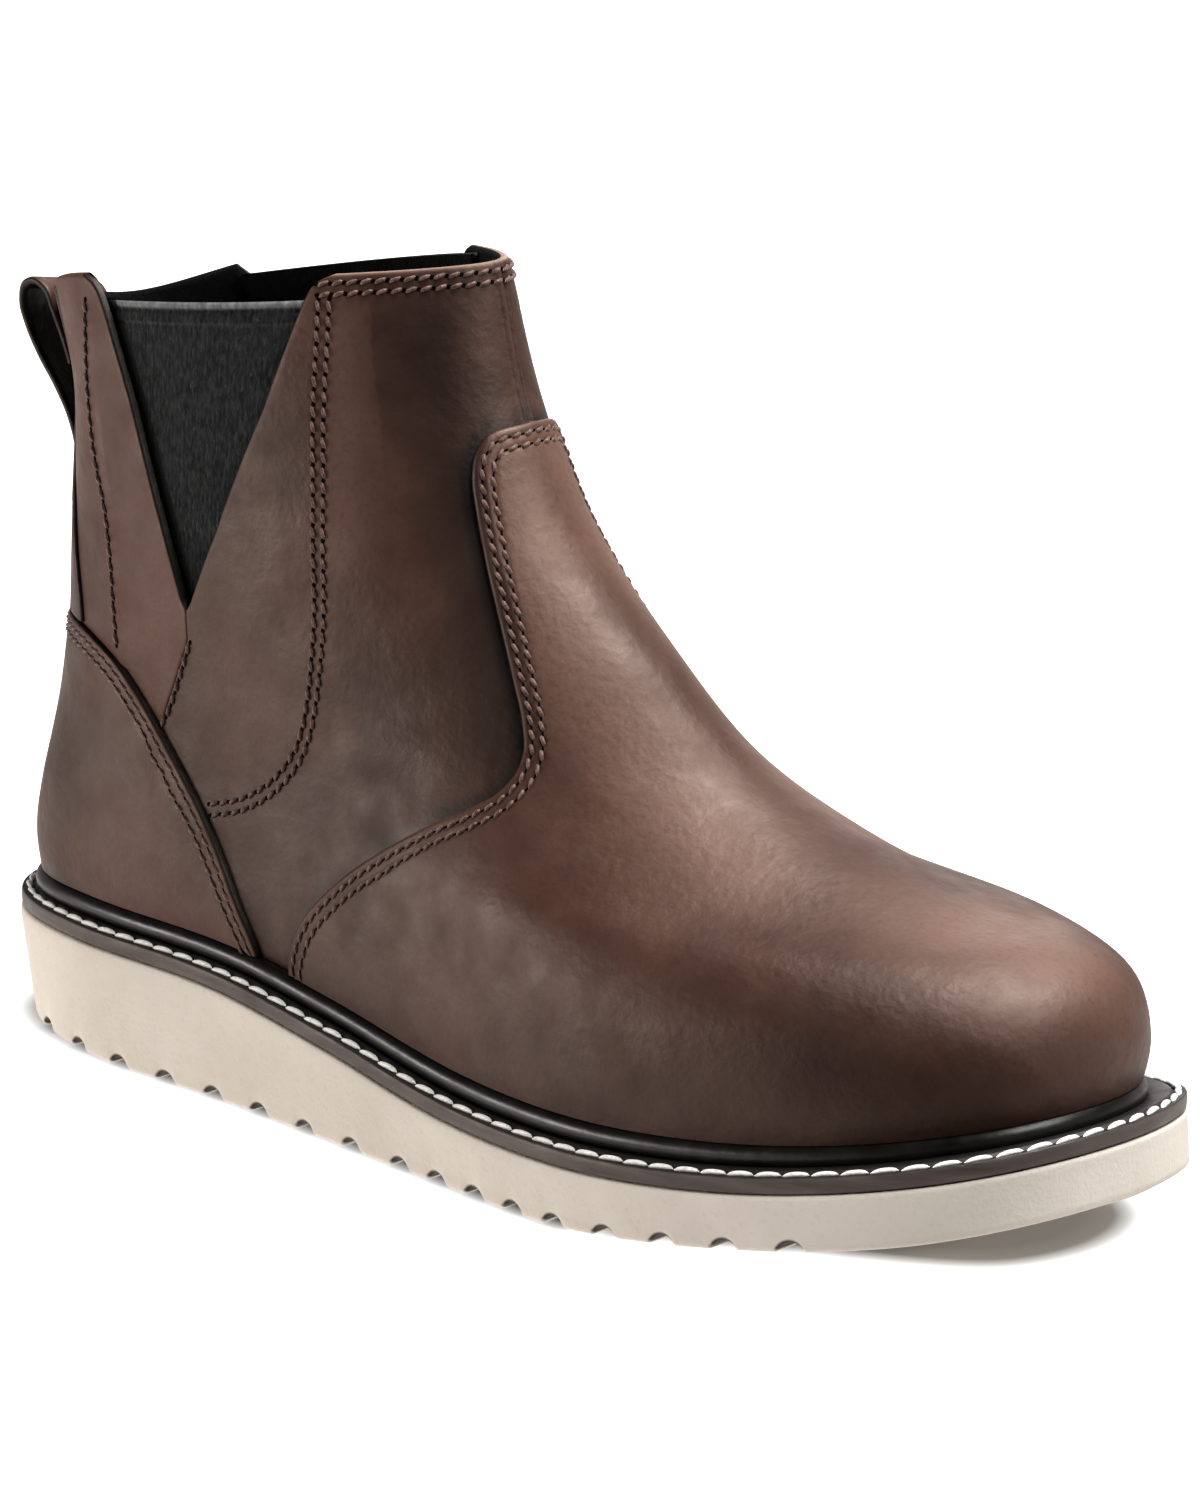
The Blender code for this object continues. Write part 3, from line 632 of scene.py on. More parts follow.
# Side view line of the vamp's edge, which lies on these quarters; beside it the quarters are painted dark as
# its shadow
vamp_edge = (
    (109.8, 26.0), (110.4, 30.0), (111.4, 34.6), (113.1, 38.7), (117.0, 45.0), (124.5, 52.6), (133.3, 59.7),
    (141.6, 65.2), (151.5, 71.1), (160.5, 75.9), (165.3, 79.3), (167.3, 83.0), (167.4, 86.6), (165.4, 92.1),
    (160.9, 100.4), (154.3, 112.3), (148.9, 122.4), (144.5, 132.2), (142.0, 139.9), (141.6, 144.4),
    (142.7, 147.7), (145.9, 149.2),
)
edge_points = 400
ink_columns = 4
collar_from = 0.985
front_points = on_upper(front_around, front_height, front_offset).reshape(-1, 3)
corner_of_vamp = kdtree.KDTree(2 * edge_points)
for inner in (False, True):
    for k, spot in enumerate(last_points(*side_spots(curved(vamp_edge, edge_points), inner))):
        corner_of_vamp.insert(spot, k)
corner_of_vamp.balance()
from_vamp = np.array([corner_of_vamp.find(spot)[2] for spot in front_points])
# Painted shadow of the vamp's raised edge on the quarters beside it, strongest along the tab, fainter at both
# ends
dirt = np.exp(-(np.maximum(from_vamp - 1.3, 0.0) / 1.5) ** 2)
dirt *= np.interp(front_points[:, 2], (60.0, 88.0, 140.0, 150.0), (0.45, 1.0, 1.0, 0.6))
# Black ink along the edges of the V, joined with the painted shadow beside the vamp
front_inked = np.zeros_like(front_offset)
front_inked[:ink_columns] = front_inked[-ink_columns:] = in_v * (quarter_heights < collar_from)
front_inked = np.maximum(front_inked.ravel(), dirt)
raw_from, raw_fade = 0.9972, 0.0014
front_raw = np.tile(np.clip((quarter_heights - raw_from) / raw_fade, 0.0, 1.0), columns)

brown = leather_finish("oiled_brown_leather", (0.035, 0.016, 0.012, 1), (0.078, 0.040, 0.029, 1),
                       (0.122, 0.069, 0.051, 1), (0.0, 0.0, 0.0))
front_quarters = make_piece("front_quarters", front_points, grid_faces(columns, len(quarter_heights)), brown,
                            inked=front_inked, raw=front_raw, worn=worn(front_points))
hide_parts("upper")


# Back quarters: the leather behind the elastic, wrapped round the back of the ankle in one piece.
# The same hide, a little redder; its front edges are inked black where the V shows their thickness.
back_outer = row_meets(v_back_outer, quarter_heights)
back_inner = row_meets(v_back_inner, quarter_heights, inner=True)
back_around = quarter_grid(0.5 - back_inner, back_outer - 0.5, quarter_heights,
                           middle=0.5, half_columns=80, gather=0.7)
columns = len(back_around)
back_height = np.tile(quarter_heights, (columns, 1))
back_drop = quarter_drop(columns)
# A reinforcing piece under the back of the ankle shows as a soft step
step_rise, step_width = 0.45, 1.3
step_line = np.array([
    (57.0, 24.0), (56.0, 70.0), (55.0, 88.0), (53.2, 108.0), (50.6, 124.0), (47.2, 135.5), (44.9, 146.0),
    (44.2, 156.0), (43.6, 190.0),
])
flat_back = last_points(back_around.ravel(), back_height.ravel())
ahead = flat_back[:, 0] - np.interp(flat_back[:, 2], step_line[:, 1], step_line[:, 0])
step_up = (step_rise * np.clip(0.5 - ahead / step_width, 0.0, 1.0)).reshape(back_around.shape)
back_points = on_upper(back_around, back_height, step_up - back_drop).reshape(-1, 3)
back_inked = np.zeros_like(back_drop)
back_inked[:ink_columns] = back_inked[-ink_columns:] = in_v
red_brown = leather_finish("oiled_red_brown_leather", (0.045, 0.017, 0.012, 1), (0.099, 0.042, 0.029, 1),
                           (0.146, 0.073, 0.052, 1), (0.13, 0.02, 0.05))
back_quarters = make_piece("back_quarters", back_points, grid_faces(columns, len(quarter_heights)), red_brown,
                           inked=back_inked.ravel(), worn=worn(back_points))


# Lining: black brushed cloth cemented to the inside of both quarters, turned in just below the collar.
# It stops at the edges of the V, where the elastic is sewn in behind it.
lining_finish, tree, place = new_finish("black_brushed_lining", Roughness=0.9, Specular_IOR_Level=0.2,
                                        Sheen_Weight=0.15, Sheen_Roughness=0.5)
tone = mixed(tree, cloudy(tree, place, 0.8, 4, 0.3, 0.7), (0.004, 0.004, 0.004, 1), (0.012, 0.011, 0.011, 1))
wire(tree, Base_Color=tone, Normal=bumped(tree, cloudy(tree, place, 0.6, 4, 0.3, 0.7), 0.2, 0.6))
lining_depths = (1.6, 2.0, 2.2)
lining_parts = []
for around, height in ((front_around, front_height), (back_around, back_height)):
    end = len(around) - edge_count
    wide = np.concatenate([np.arange(edge_count), np.arange(edge_count, end, 3), np.arange(end, len(around))])
    tall = np.concatenate([np.arange(0, even_rows, 4), np.arange(even_rows - 1, height.shape[1])])
    from_side = np.interp(np.minimum(wide, wide[::-1]), (0, 3, 6), lining_depths)
    from_rim = np.interp((1.0 - height[0, tall]) * upper_rise, (0.0, 0.6, 1.5), lining_depths)
    offset = -np.minimum(from_side[:, None], from_rim[None])
    points = on_upper(around[np.ix_(wide, tall)], height[np.ix_(wide, tall)], offset)
    lining_parts.append((points.reshape(-1, 3), turned_over(grid_faces(len(wide), len(tall)))))
lining = make_piece("lining", *joined(lining_parts), lining_finish)


# Gores: two panels of black woven elastic, sewn in behind the V on each side so that the boot pulls on.
# The weave is fuzzy and finely ribbed, with a grey selvage folded and stitched along the top, its pale band
# partly painted highlight.
gore_back = ((77.3, 92.5), (73.0, 97.0), (63.5, 120.0), (52.5, 143.0))
gore_front = ((77.3, 92.5), (82.0, 97.0), (93.0, 120.0), (106.0, 150.0))
gore_back_x, gore_front_x = 41.5, 114.5
# Name, whether on the inner side, and height of the top at its back and at its front
gore_tops = (("gore_lateral", False, 164.4, 174.2), ("gore_medial", True, 163.0, 178.0))
elastic, tree, place = new_finish("black_elastic_weave", Specular_IOR_Level=0.2, Sheen_Weight=0.12,
                                  Sheen_Roughness=0.5)
ribs = node(tree, "TexWave", [("Vector", place), ("Scale", 240.0), ("Distortion", 3.0), ("Detail", 3.0),
                              ("Detail Scale", 4.0)], wave_type="BANDS", bands_direction="X")
fuzz_place = node(tree, "Mapping", [(0, place), (3, (1.3, 1.3, 0.6))]).outputs[0]
fuzz = cloudy(tree, fuzz_place, 1.3, 6, 0.38, 0.70)
tone = mixed(tree, cloudy(tree, place, 9, 4, 0.35, 0.65), (0.010, 0.0105, 0.011, 1), (0.018, 0.019, 0.020, 1))
tone = mixed(tree, fuzz, tone, (0.045, 0.046, 0.048, 1))
tone = mixed(tree, cloudy(tree, fuzz_place, 0.7, 3, 0.62, 0.74, 0.0, 0.5), tone, (0.12, 0.12, 0.125, 1))
faded = cloudy(tree, fuzz_place, 2.4, 4, 0.30, 0.62, 0.45, 1.0)
# Pale selvage band, partly a painted highlight on its folded rim
faded = node(tree, "Math", [(0, mark_of(tree, "selvage")), (1, faded)], operation="MULTIPLY").outputs[0]
tone = mixed(tree, faded, tone, (0.24, 0.245, 0.25, 1))
tone = mixed(tree, mark_of(tree, "shaded"), tone, (0.003, 0.003, 0.003, 1))
ribbed = bumped(tree, ribs.outputs["Fac"], 0.10, 0.4)
wire(tree, Base_Color=tone, Roughness=cloudy(tree, place, 3, 3, 0.3, 0.7, 0.74, 0.92),
     Normal=bumped(tree, fuzz, 0.3, 0.6, under=ribbed))

across_count, up_count, hem_rows, side_count = 90, 110, 24, 200
gore_rise, hem_depth = 82.0, 5.0
gore_outside, gore_inside = -2.55, -3.7
from_top = np.linspace(gore_rise, 6.4, up_count - hem_rows)
from_top = np.concatenate([from_top, np.linspace(6.0, 0.0, hem_rows)])
# The hem along the top: a folded rim, a crease under it, and the dip of its stitches further down
hem = 0.30 * np.exp(-((from_top - 0.7) / 0.55) ** 2) - 0.30 * np.exp(-((from_top - 2.1) / 0.45) ** 2)
hem = hem - 0.22 * np.exp(-((from_top - hem_depth) / 0.4) ** 2) + 0.12 * (from_top < 4.6)
# Pale band along the top: the grey selvage, partly painted highlight on its rolled rim, and a faint line at
# the hem's stitches
gore_pale = np.exp(-(np.maximum(from_top - 0.2, 0.0) / 1.3) ** 6)
gore_pale = gore_pale + 0.16 * np.exp(-((from_top - hem_depth) / 0.35) ** 2)
# Shade on the elastic: close behind the edge of the V, and low down in its tip
v_shade, v_fade = 2.2, 0.9
tip_shade = np.clip((from_top - 52.0) / 14.0, 0.0, 0.6)
pick = (1.0 - from_top / gore_rise) * (side_count - 1)
for gore_name, inner, back_z, front_z in gore_tops:
    sides = []
    for side in (gore_back + ((gore_back_x, back_z),), gore_front + ((gore_front_x, front_z),)):
        line = curved(side, side_count)
        sides.append(np.stack([np.interp(pick, np.arange(side_count), line[:, k]) for k in (0, 1)], axis=-1))
    back_side, front_side = sides
    share = np.linspace(0.0, 1.0, across_count)[:, None, None]
    flat = back_side[None] + (front_side - back_side)[None] * share
    around, height = side_spots(flat.reshape(-1, 2), inner)
    around, height = around.reshape(flat.shape[:2]), height.reshape(flat.shape[:2])
    outside, inside = on_upper(around, height, gore_outside + hem), on_upper(around, height, gore_inside)
    outside, inside = (face[::-1] if inner else face for face in (outside, inside))
    skin = np.concatenate([outside[::-1], inside], axis=0)
    pale = np.tile(gore_pale, (2 * across_count, 1))
    pale[across_count:] = 0.0
    v_edge = np.array(v_back_inner if inner else v_back_outer)
    behind = flat[:, :, 0] - np.interp(flat[:, :, 1], v_edge[:, 1], v_edge[:, 0])
    hidden = 1.0 - np.clip((behind - v_shade) / v_fade, 0.0, 1.0)
    shade = np.ones((2 * across_count, up_count))
    shade[:across_count] = np.maximum(hidden if inner else hidden[::-1], tip_shade[None])
    gore_faces = grid_faces(2 * across_count, up_count, closed=True)
    gore = make_piece(gore_name + "_elastic", skin.reshape(-1, 3), gore_faces, elastic,
                      selvage=pale.ravel(), shaded=shade.ravel())
    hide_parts(gore_name)


# Vamp: one large piece of the same hide over toes and instep, ending in a rounded tab at the throat.
# It lies on the quarters, pulled over the last while damp, and two rows of stitches hold its edge.
overlay_foot = 0.0245
# Distance in from the cut edge and height over the quarters: rounded edge, then the two sewn-down rows
overlay_steps = (
    (0.0, -0.35), (0.10, 0.75), (0.28, 1.25), (0.6, 1.55), (1.1, 1.68), (1.7, 1.66), (2.2, 1.42), (2.7, 1.62),
    (3.4, 1.68), (4.1, 1.62), (4.6, 1.42), (5.1, 1.62), (5.8, 1.70),
)
overlay_height = 1.7
edge_spacing = 0.85
# Millimetres for one unit of around and of height, where a panel is laid out flat
sheet_scale = np.array([620.0, upper_rise])


def found_line(line, count, inner):
    """Side view line as around and height on one side, without the stretches that miss the upper."""
    nearest = 0.25
    spots = curved(line, count)
    around, height = side_spots(spots, inner)
    found = np.linalg.norm(last_points(around, height)[:, [0, 2]] - spots, axis=1) < nearest
    return around[found], height[found]


def evenly(around, height, spacing):
    """Line on the upper with points at an even distance."""
    steps = path_steps(last_points(around, height))
    at = np.linspace(0.0, steps[-1], int(steps[-1] / spacing) + 1)
    return np.interp(at, steps, around), np.interp(at, steps, height)


def panel_edge(around, height):
    """Edge of a panel from its outer foot over to its inner foot, with points at an even distance."""
    keep = height > overlay_foot
    around, height = evenly(around[keep], height[keep], edge_spacing)
    height[[0, -1]] = overlay_foot
    return around, height


def moved_in(around, height, distance, side):
    """Line on the upper moved sideways by a distance, to its left (1) or its right (-1) as seen outside."""
    points = last_points(around, height)
    along, up, normal = last_slopes(around, height)
    across = side * np.cross(normal, np.gradient(points, axis=0))
    across *= distance / np.linalg.norm(across, axis=1, keepdims=True)
    aa, uu, au = (along ** 2).sum(1), (up ** 2).sum(1), (along * up).sum(1)
    pa, pu = (across * along).sum(1), (across * up).sum(1)
    whole = aa * uu - au ** 2
    return around + (pa * uu - pu * au) / whole, height + (pu * aa - pa * au) / whole


def inside_outline(points, outline):
    """Which points lie inside a closed outline."""
    inside = np.zeros(len(points), bool)
    for (x1, y1), (x2, y2) in zip(outline, np.roll(outline, -1, axis=0)):
        if y1 != y2:
            crosses = (y1 > points[:, 1]) != (y2 > points[:, 1])
            inside ^= crosses & (points[:, 0] < (x2 - x1) * (points[:, 1] - y1) / (y2 - y1) + x1)
    return inside


def panel(name, around, height, side, ink_depth, finish):
    """Leather panel on the upper inside an edge line that starts and ends at the foot."""
    foot_count, least_ahead, least_clear, lot = 358, 0.3, 0.8, 500
    fill_foot, fill_around, fill_height = 0.03, 0.0026, 0.0085
    base = np.diff(np.column_stack([around, height]) * sheet_scale, axis=0)
    spots, starts = [], [0]
    for distance, offset in overlay_steps:
        ring_around, ring_height = moved_in(around, height, distance, side)
        ring_height[[0, -1]] = overlay_foot
        ring_height = np.maximum(ring_height, overlay_foot)
        ring = np.column_stack([ring_around, ring_height, np.full(len(around), offset)])
        ahead = (np.diff(ring[:, :2] * sheet_scale, axis=0) * base).sum(axis=1)
        ahead = ahead > least_ahead * (base ** 2).sum(axis=1)
        spots.append(ring[np.concatenate([[True], ahead[:-1], [True]])])
        starts.append(starts[-1] + len(spots[-1]))
    foot_around = np.linspace(spots[-1][-1, 0], spots[-1][0, 0], foot_count + 2)[1:-1]
    foot = np.column_stack([foot_around, np.tile((overlay_foot, overlay_height), (foot_count, 1))])
    outline = np.concatenate([spots[-1], foot])[:, :2] * sheet_scale
    fill = np.meshgrid(np.arange(around.min(), around.max(), fill_around),
                       np.arange(fill_foot, height.max(), fill_height))
    fill = np.column_stack([part.ravel() for part in fill])
    fill = fill[inside_outline(fill * sheet_scale, outline)]
    clear = np.concatenate([((fill[start:start + lot, None] * sheet_scale - outline[None]) ** 2).sum(2).min(1)
                            for start in range(0, len(fill), lot)])
    fill = fill[clear > least_clear ** 2]
    spots = np.concatenate(spots + [foot, np.column_stack([fill, np.full(len(fill), overlay_height)])])
    edges = [(i, i + 1) for first, end in zip(starts[:-1], starts[1:]) for i in range(first, end - 1)]
    border = list(range(starts[1])) + [end - 1 for end in starts[2:]]
    border += list(range(starts[-1], starts[-1] + foot_count)) + starts[-2:0:-1]
    flat = [Vector(spot) for spot in spots[:, :2] * sheet_scale]
    keep_inside, tolerance = 1, 1e-5
    filled = geometry.delaunay_2d_cdt(flat, edges, [border], keep_inside, tolerance)
    flat, _edges, faces, from_spot = filled[:4]
    kept = np.array([which[0] if which else -1 for which in from_spot])
    offset = np.where(kept < 0, overlay_height, spots[kept, 2])
    inked = np.where((kept >= 0) & (kept < starts[ink_depth]), 1.0, 0.0)
    around, height = (np.array([tuple(spot) for spot in flat]) / sheet_scale).T
    faces = [[int(corner) for corner in face[::-1]] for face in faces]
    points = on_upper(around, height, offset)
    return make_piece(name, points, faces, finish, inked=inked, worn=worn(points))


outer_around, outer_height = found_line(vamp_edge, edge_points, False)
inner_around, inner_height = found_line(vamp_edge, edge_points, True)
throat_rise = 0.0015
throat_height = max(outer_height[-1], inner_height[-1]) + throat_rise
vamp_around, vamp_height = panel_edge(
    np.concatenate([outer_around, [0.0], (inner_around - 1.0)[::-1]]),
    np.concatenate([outer_height, [throat_height], inner_height[::-1]]))
vamp_brown = leather_finish("oiled_vamp_leather", (0.036, 0.016, 0.012, 1), (0.080, 0.040, 0.029, 1),
                            (0.125, 0.071, 0.053, 1), (0.04, 0.17, 0.11), ink=(0.012, 0.007, 0.006, 1))
vamp = panel("vamp_leather", vamp_around, vamp_height, side=-1, ink_depth=2, finish=vamp_brown)
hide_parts("vamp")


# Heel counter: a stiff curved piece round the heel, skived to the same thickness as the vamp.
# Its upper edge is inked black and held by two rows of stitches; its outer face is left plain.
counter_line = (
    (101.6, 26.0), (100.8, 32.0), (95.0, 43.5), (86.6, 56.5), (71.0, 73.0), (62.0, 81.5), (53.8, 87.6),
    (42.0, 91.8), (27.0, 93.0), (19.5, 93.0),
)
outer_around, outer_height = found_line(counter_line, edge_points, False)
inner_around, inner_height = found_line(counter_line, edge_points, True)
counter_around, counter_height = panel_edge(np.concatenate([outer_around, inner_around[::-1]]),
                                            np.concatenate([outer_height, inner_height[::-1]]))
counter_brown = leather_finish("oiled_counter_leather", (0.046, 0.022, 0.016, 1), (0.096, 0.050, 0.038, 1),
                               (0.142, 0.083, 0.064, 1), (0.21, 0.07, 0.02))
counter = panel("counter_leather", counter_around, counter_height, side=1, ink_depth=3, finish=counter_brown)
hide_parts("heel_counter")


# Back strip: a narrow strip of leather over the back seam, from the counter to the collar, wider at its foot.
# It is cemented down with inked edges and lies under the ends of the pull loop.
strip_count, strip_middles, strip_top, strip_lift = 120, 28, 0.9975, 1.45
strip_side, strip_ink, above_counter = 0.4423, 3, 0.004
strip_foot = side_spots([(19.5, 93.6)])[1][0]
strip_rows = np.linspace(strip_foot, strip_top, strip_count)
# Half width round the upper, at heights from the foot of the strip to the collar
half_heights = (0.40, 0.4735, 0.5265, 0.598, 0.6753, 0.74, 0.80, 1.0)
half_widths = (0.1005, 0.1000, 0.0983, 0.0896, 0.0746, 0.0630, 0.0580, 0.0577)
# Rounding of its edges: distance in from the edge, and height over the quarters
strip_steps = np.array([0.0, 0.10, 0.28, 0.6, 1.1, 1.7])
strip_lifts = np.array([-0.3, 0.7, 1.1, 1.32, 1.42, strip_lift])
strip_slope = last_slopes(np.full(strip_count, strip_side), strip_rows)[0]
close = smooth(half_heights, half_widths, strip_rows)[:, None]
close = close - strip_steps[None] / np.linalg.norm(strip_slope, axis=1)[:, None]
middles = close[:, -1:] * np.linspace(-1, 1, strip_middles + 2)[1:-1][None]
strip_around = (0.5 - np.concatenate([-close, middles, close[:, ::-1]], axis=1)).T[::-1]
strip_lifts = np.concatenate([strip_lifts, np.full(strip_middles, strip_lift), strip_lifts[::-1]])
counter_top = np.interp(strip_around[:, 0], counter_around, counter_height) + above_counter
strip_height = (strip_top - counter_top)[:, None] * np.linspace(0, 1, strip_count)[None]
strip_height = counter_top[:, None] + strip_height
strip_inked = np.zeros_like(strip_height)
strip_inked[:strip_ink] = strip_inked[-strip_ink:] = 1.0
top_drop = np.interp((strip_top - strip_height) * upper_rise, (0.0, 0.4, 1.2), (0.9, 0.25, 0.0))
strip_points = on_upper(strip_around, strip_height, strip_lifts[:, None] - top_drop)
strip_brown = leather_finish("oiled_strip_leather", (0.043, 0.019, 0.015, 1), (0.094, 0.046, 0.034, 1),
                             (0.137, 0.077, 0.058, 1), (0.03, 0.09, 0.19))
strip = make_piece("back_strip_leather", strip_points.reshape(-1, 3),
                   grid_faces(len(strip_around), strip_count), strip_brown, inked=strip_inked.ravel())
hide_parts("back_strip")


# Pull loop: a strip of the same leather folded over behind the collar, brown outside and black inside.
# Both of its ends lie flat on the back strip, one above the other.
loop_table = np.array([
    # x, y and z of the middle of the strip, then how far it is wrapped round the boot
    (19.8, -0.3, 112.0, 1.00), (20.5, -0.6, 121.0, 1.00), (20.3, -0.9, 127.0, 0.95),
    (18.6, -1.2, 133.0, 0.80), (15.2, -1.6, 139.0, 0.55), (11.2, -2.0, 144.5, 0.35),
    (8.2, -2.4, 150.0, 0.20), (6.8, -2.8, 155.2, 0.12), (8.0, -3.0, 159.4, 0.15),
    (11.2, -3.0, 160.8, 0.30), (13.8, -2.8, 159.8, 0.60), (15.2, -2.7, 157.0, 0.90),
    (17.1, -2.4, 152.6, 1.00), (18.9, -2.1, 148.0, 1.00), (19.8, -1.9, 145.0, 1.00),
])
loop_half_width, loop_thickness, back_radius, loop_lean, loop_aside = 8.6, 1.8, 27.0, 0.24, 0.9
loop_count = 150
steps = path_steps(loop_table[:, [0, 2]])
loop_x, loop_y, loop_z, wrap = smooth(steps, loop_table, np.linspace(0.0, steps[-1], loop_count)).T
along = np.gradient(np.column_stack([loop_x, loop_z]), axis=0)
along /= np.linalg.norm(along, axis=1, keepdims=True)
# Section across the strip: distance in from the edge and lift of its rounding, then flat to the middle
loop_edge = ((0.0, 0.0), (0.12, 0.55), (0.4, 0.9), (0.9, 1.08))
flat_inset, flat_lift, flat_lanes, ink_below = 1.8, 1.1, 8, 0.6
flat_widths = np.linspace(loop_half_width - flat_inset, 0.0, flat_lanes + 1)[:-1]
half_section = [(loop_half_width - inset, lift) for inset, lift in loop_edge]
half_section += [(width, flat_lift) for width in flat_widths]
upper_side = half_section + [(0.0, flat_lift)] + [(-width, lift) for width, lift in half_section[::-1]]
lower_side = [(width, -lift) for width, lift in upper_side[::-1]][1:-1]
loop_section = np.array(upper_side + lower_side)
lanes = []
for width, lift in loop_section:
    out = lift * loop_thickness / (2 * flat_lift)
    lanes.append(np.column_stack([
        loop_x - along[:, 1] * out + wrap * width ** 2 / (2 * back_radius),
        loop_y - loop_aside + width,
        loop_z + along[:, 0] * out - loop_lean * (1.0 - wrap) * width,
    ]))
loop_points = np.stack(lanes, axis=1)
loop_inked = np.tile(np.where(loop_section[:, 1] < ink_below, 1.0, 0.0), (loop_count, 1))
loop_brown = leather_finish("oiled_loop_leather", (0.046, 0.020, 0.015, 1), (0.098, 0.049, 0.037, 1),
                            (0.145, 0.083, 0.063, 1), (0.09, 0.21, 0.03))
loop = make_piece("pull_loop_leather", loop_points.reshape(-1, 3), tube_faces(loop_count, len(loop_section)),
                  loop_brown, inked=loop_inked.ravel())
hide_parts("pull_loop")


# Upper stitches: brown waxed thread in twin rows along vamp, counter, collar and quarters.
# Every stitch is drawn down into its needle holes, which show as dark dots in the leather, painted as the
# shade inside the holes.
brown_thread = thread_finish("brown_waxed_thread", (0.060, 0.028, 0.021, 1), (0.19, 0.115, 0.09, 1))
# Near-black discs: painted shade inside the needle holes
hole_finish, tree, place = new_finish("needle_hole", Roughness=0.8, Specular_IOR_Level=0.1)
tone = mixed(tree, cloudy(tree, place, 1.0, 2, 0.3, 0.7), (0.004, 0.002, 0.002, 1), (0.010, 0.006, 0.005, 1))
wire(tree, Base_Color=tone)
stitch_pitch, row_spacing = 3.1, 0.6
sewn_offset, flat_offset, step_offset = 1.44, 0.02, 0.47


def needle_holes(line, normals, pitch, length, width):
    """Dark dots at the ends of the stitches, just proud of the leather: painted shade of the holes."""
    sides, rim_lift, middle_lift = 8, 0.06, 0.10
    count, line_length, found = thread_path(line, normals, pitch)
    middle, up, out = found(np.arange(count + 1) * line_length / count)
    ahead = np.cross(out, up)
    turns = np.arange(sides) / sides * 2 * np.pi
    rim = middle[:, None] + up[:, None] * rim_lift + ahead[:, None] * (np.cos(turns) * length / 2)[:, None]
    rim = rim + out[:, None] * (np.sin(turns) * width / 2)[:, None]
    points = np.concatenate([rim, (middle + up * middle_lift)[:, None]], axis=1)
    one = [[i, (i + 1) % sides, sides] for i in range(sides)]
    faces = [[corner + k * (sides + 1) for corner in face] for k in range(count + 1) for face in one]
    return points.reshape(-1, 3), faces


stitch_lots, hole_lots = [], []


def sew_row(around, height, offset):
    """One row of stitches along a line on the upper."""
    around, height = evenly(around, height, row_spacing)
    line = on_upper(around, height, offset)
    normals = last_slopes(around, height)[2]
    stitches = sewn(line, normals, stitch_pitch, length=2.7, width=0.95, height=0.45, lean=0.8, sink=0.12)
    stitch_lots.append(stitches)
    hole_lots.append(needle_holes(line, normals, stitch_pitch, length=1.25, width=0.95))


for distance in (2.2, 4.6):
    sew_row(*moved_in(vamp_around, vamp_height, distance, -1), sewn_offset)
    sew_row(*moved_in(counter_around, counter_height, distance, 1), sewn_offset)
collar_corner = (109.2, 173.4)
quarter_line = (collar_corner, (110.1, 166.3), (111.6, 152.6), (114.7, 128.7), (116.4, 103.8), (115.3, 90.9),
                (112.0, 79.5), (104.4, 70.5), (93.7, 64.1), (84.5, 61.3))
back_line = ((42.9, 164.7), (42.4, 155.7), (42.2, 146.0), (43.4, 138.0), (45.8, 130.2), (49.1, 122.3),
             (51.4, 107.0), (53.0, 91.0))
seam_line = ((77.0, 97.0), (72.4, 87.2), (69.0, 80.0), (66.6, 76.5))
beside = 1.2
for inner in (False, True):
    for line, distances, offset in (
        (quarter_line, (-beside, beside), flat_offset),
        (back_line[2:] if inner else back_line, (0.0,), step_offset),
        (seam_line, (-beside if inner else beside,), flat_offset),
    ):
        around, height = found_line(line, side_count, inner)
        below = height < collar_from
        for distance in distances:
            sew_row(*moved_in(around[below], height[below], distance, 1), offset)
collar_count, past_corner = 240, 0.004
outer_end = side_spots([collar_corner])[0][0] + past_corner
inner_end = side_spots([collar_corner], inner=True)[0][0] - 1.0 - past_corner
around = np.linspace(outer_end, inner_end, collar_count)
rise = np.linalg.norm(last_slopes(around, np.full(collar_count, collar_from))[1], axis=1)
for distance in (2.1, 4.4):
    sew_row(around, 1.0 - distance / rise, flat_offset)
make_piece("upper_stitches", *joined(stitch_lots), brown_thread)
make_piece("upper_needle_holes", *joined(hole_lots), hole_finish)


# Rand: a round bead of black rubber with a slight gloss, pressed into the corner between welt and upper.
# It is cemented all the way round and hides the raw foot of vamp, counter and quarters.
rand_rise = 0.022
rand_section = (
    # share of the rise, distance out from the upper
    (0.0, 0.0), (0.0, 2.8), (0.08, 3.12), (0.24, 3.36), (0.45, 3.42), (0.64, 3.3), (0.8, 2.98), (0.93, 2.5),
    (1.02, 1.95), (1.07, 1.5), (1.06, 0.9), (1.0, 0.2),
)
rand_columns = 900
rand_around = np.arange(rand_columns) / rand_columns
rand_points = np.stack([on_upper(rand_around, share * rand_rise, out) for share, out in rand_section], axis=1)
rand_faces = grid_faces(rand_columns, len(rand_section), closed=True, capped=True)
bead, tree, place = new_finish("glossy_black_rubber", Specular_IOR_Level=0.6, Coat_Weight=0.15,
                               Coat_Roughness=0.3)
tone = mixed(tree, cloudy(tree, place, 7, 4, 0.3, 0.7), (0.010, 0.009, 0.0085, 1), (0.024, 0.021, 0.020, 1))
wire(tree, Base_Color=tone, Roughness=cloudy(tree, place, 5, 4, 0.3, 0.7, 0.34, 0.46),
     Normal=bumped(tree, cloudy(tree, place, 3, 3, 0.3, 0.7), 0.12, 0.4))
rand = make_piece("rand_bead", rand_points.reshape(-1, 3), rand_faces, bead)
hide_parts("rand")


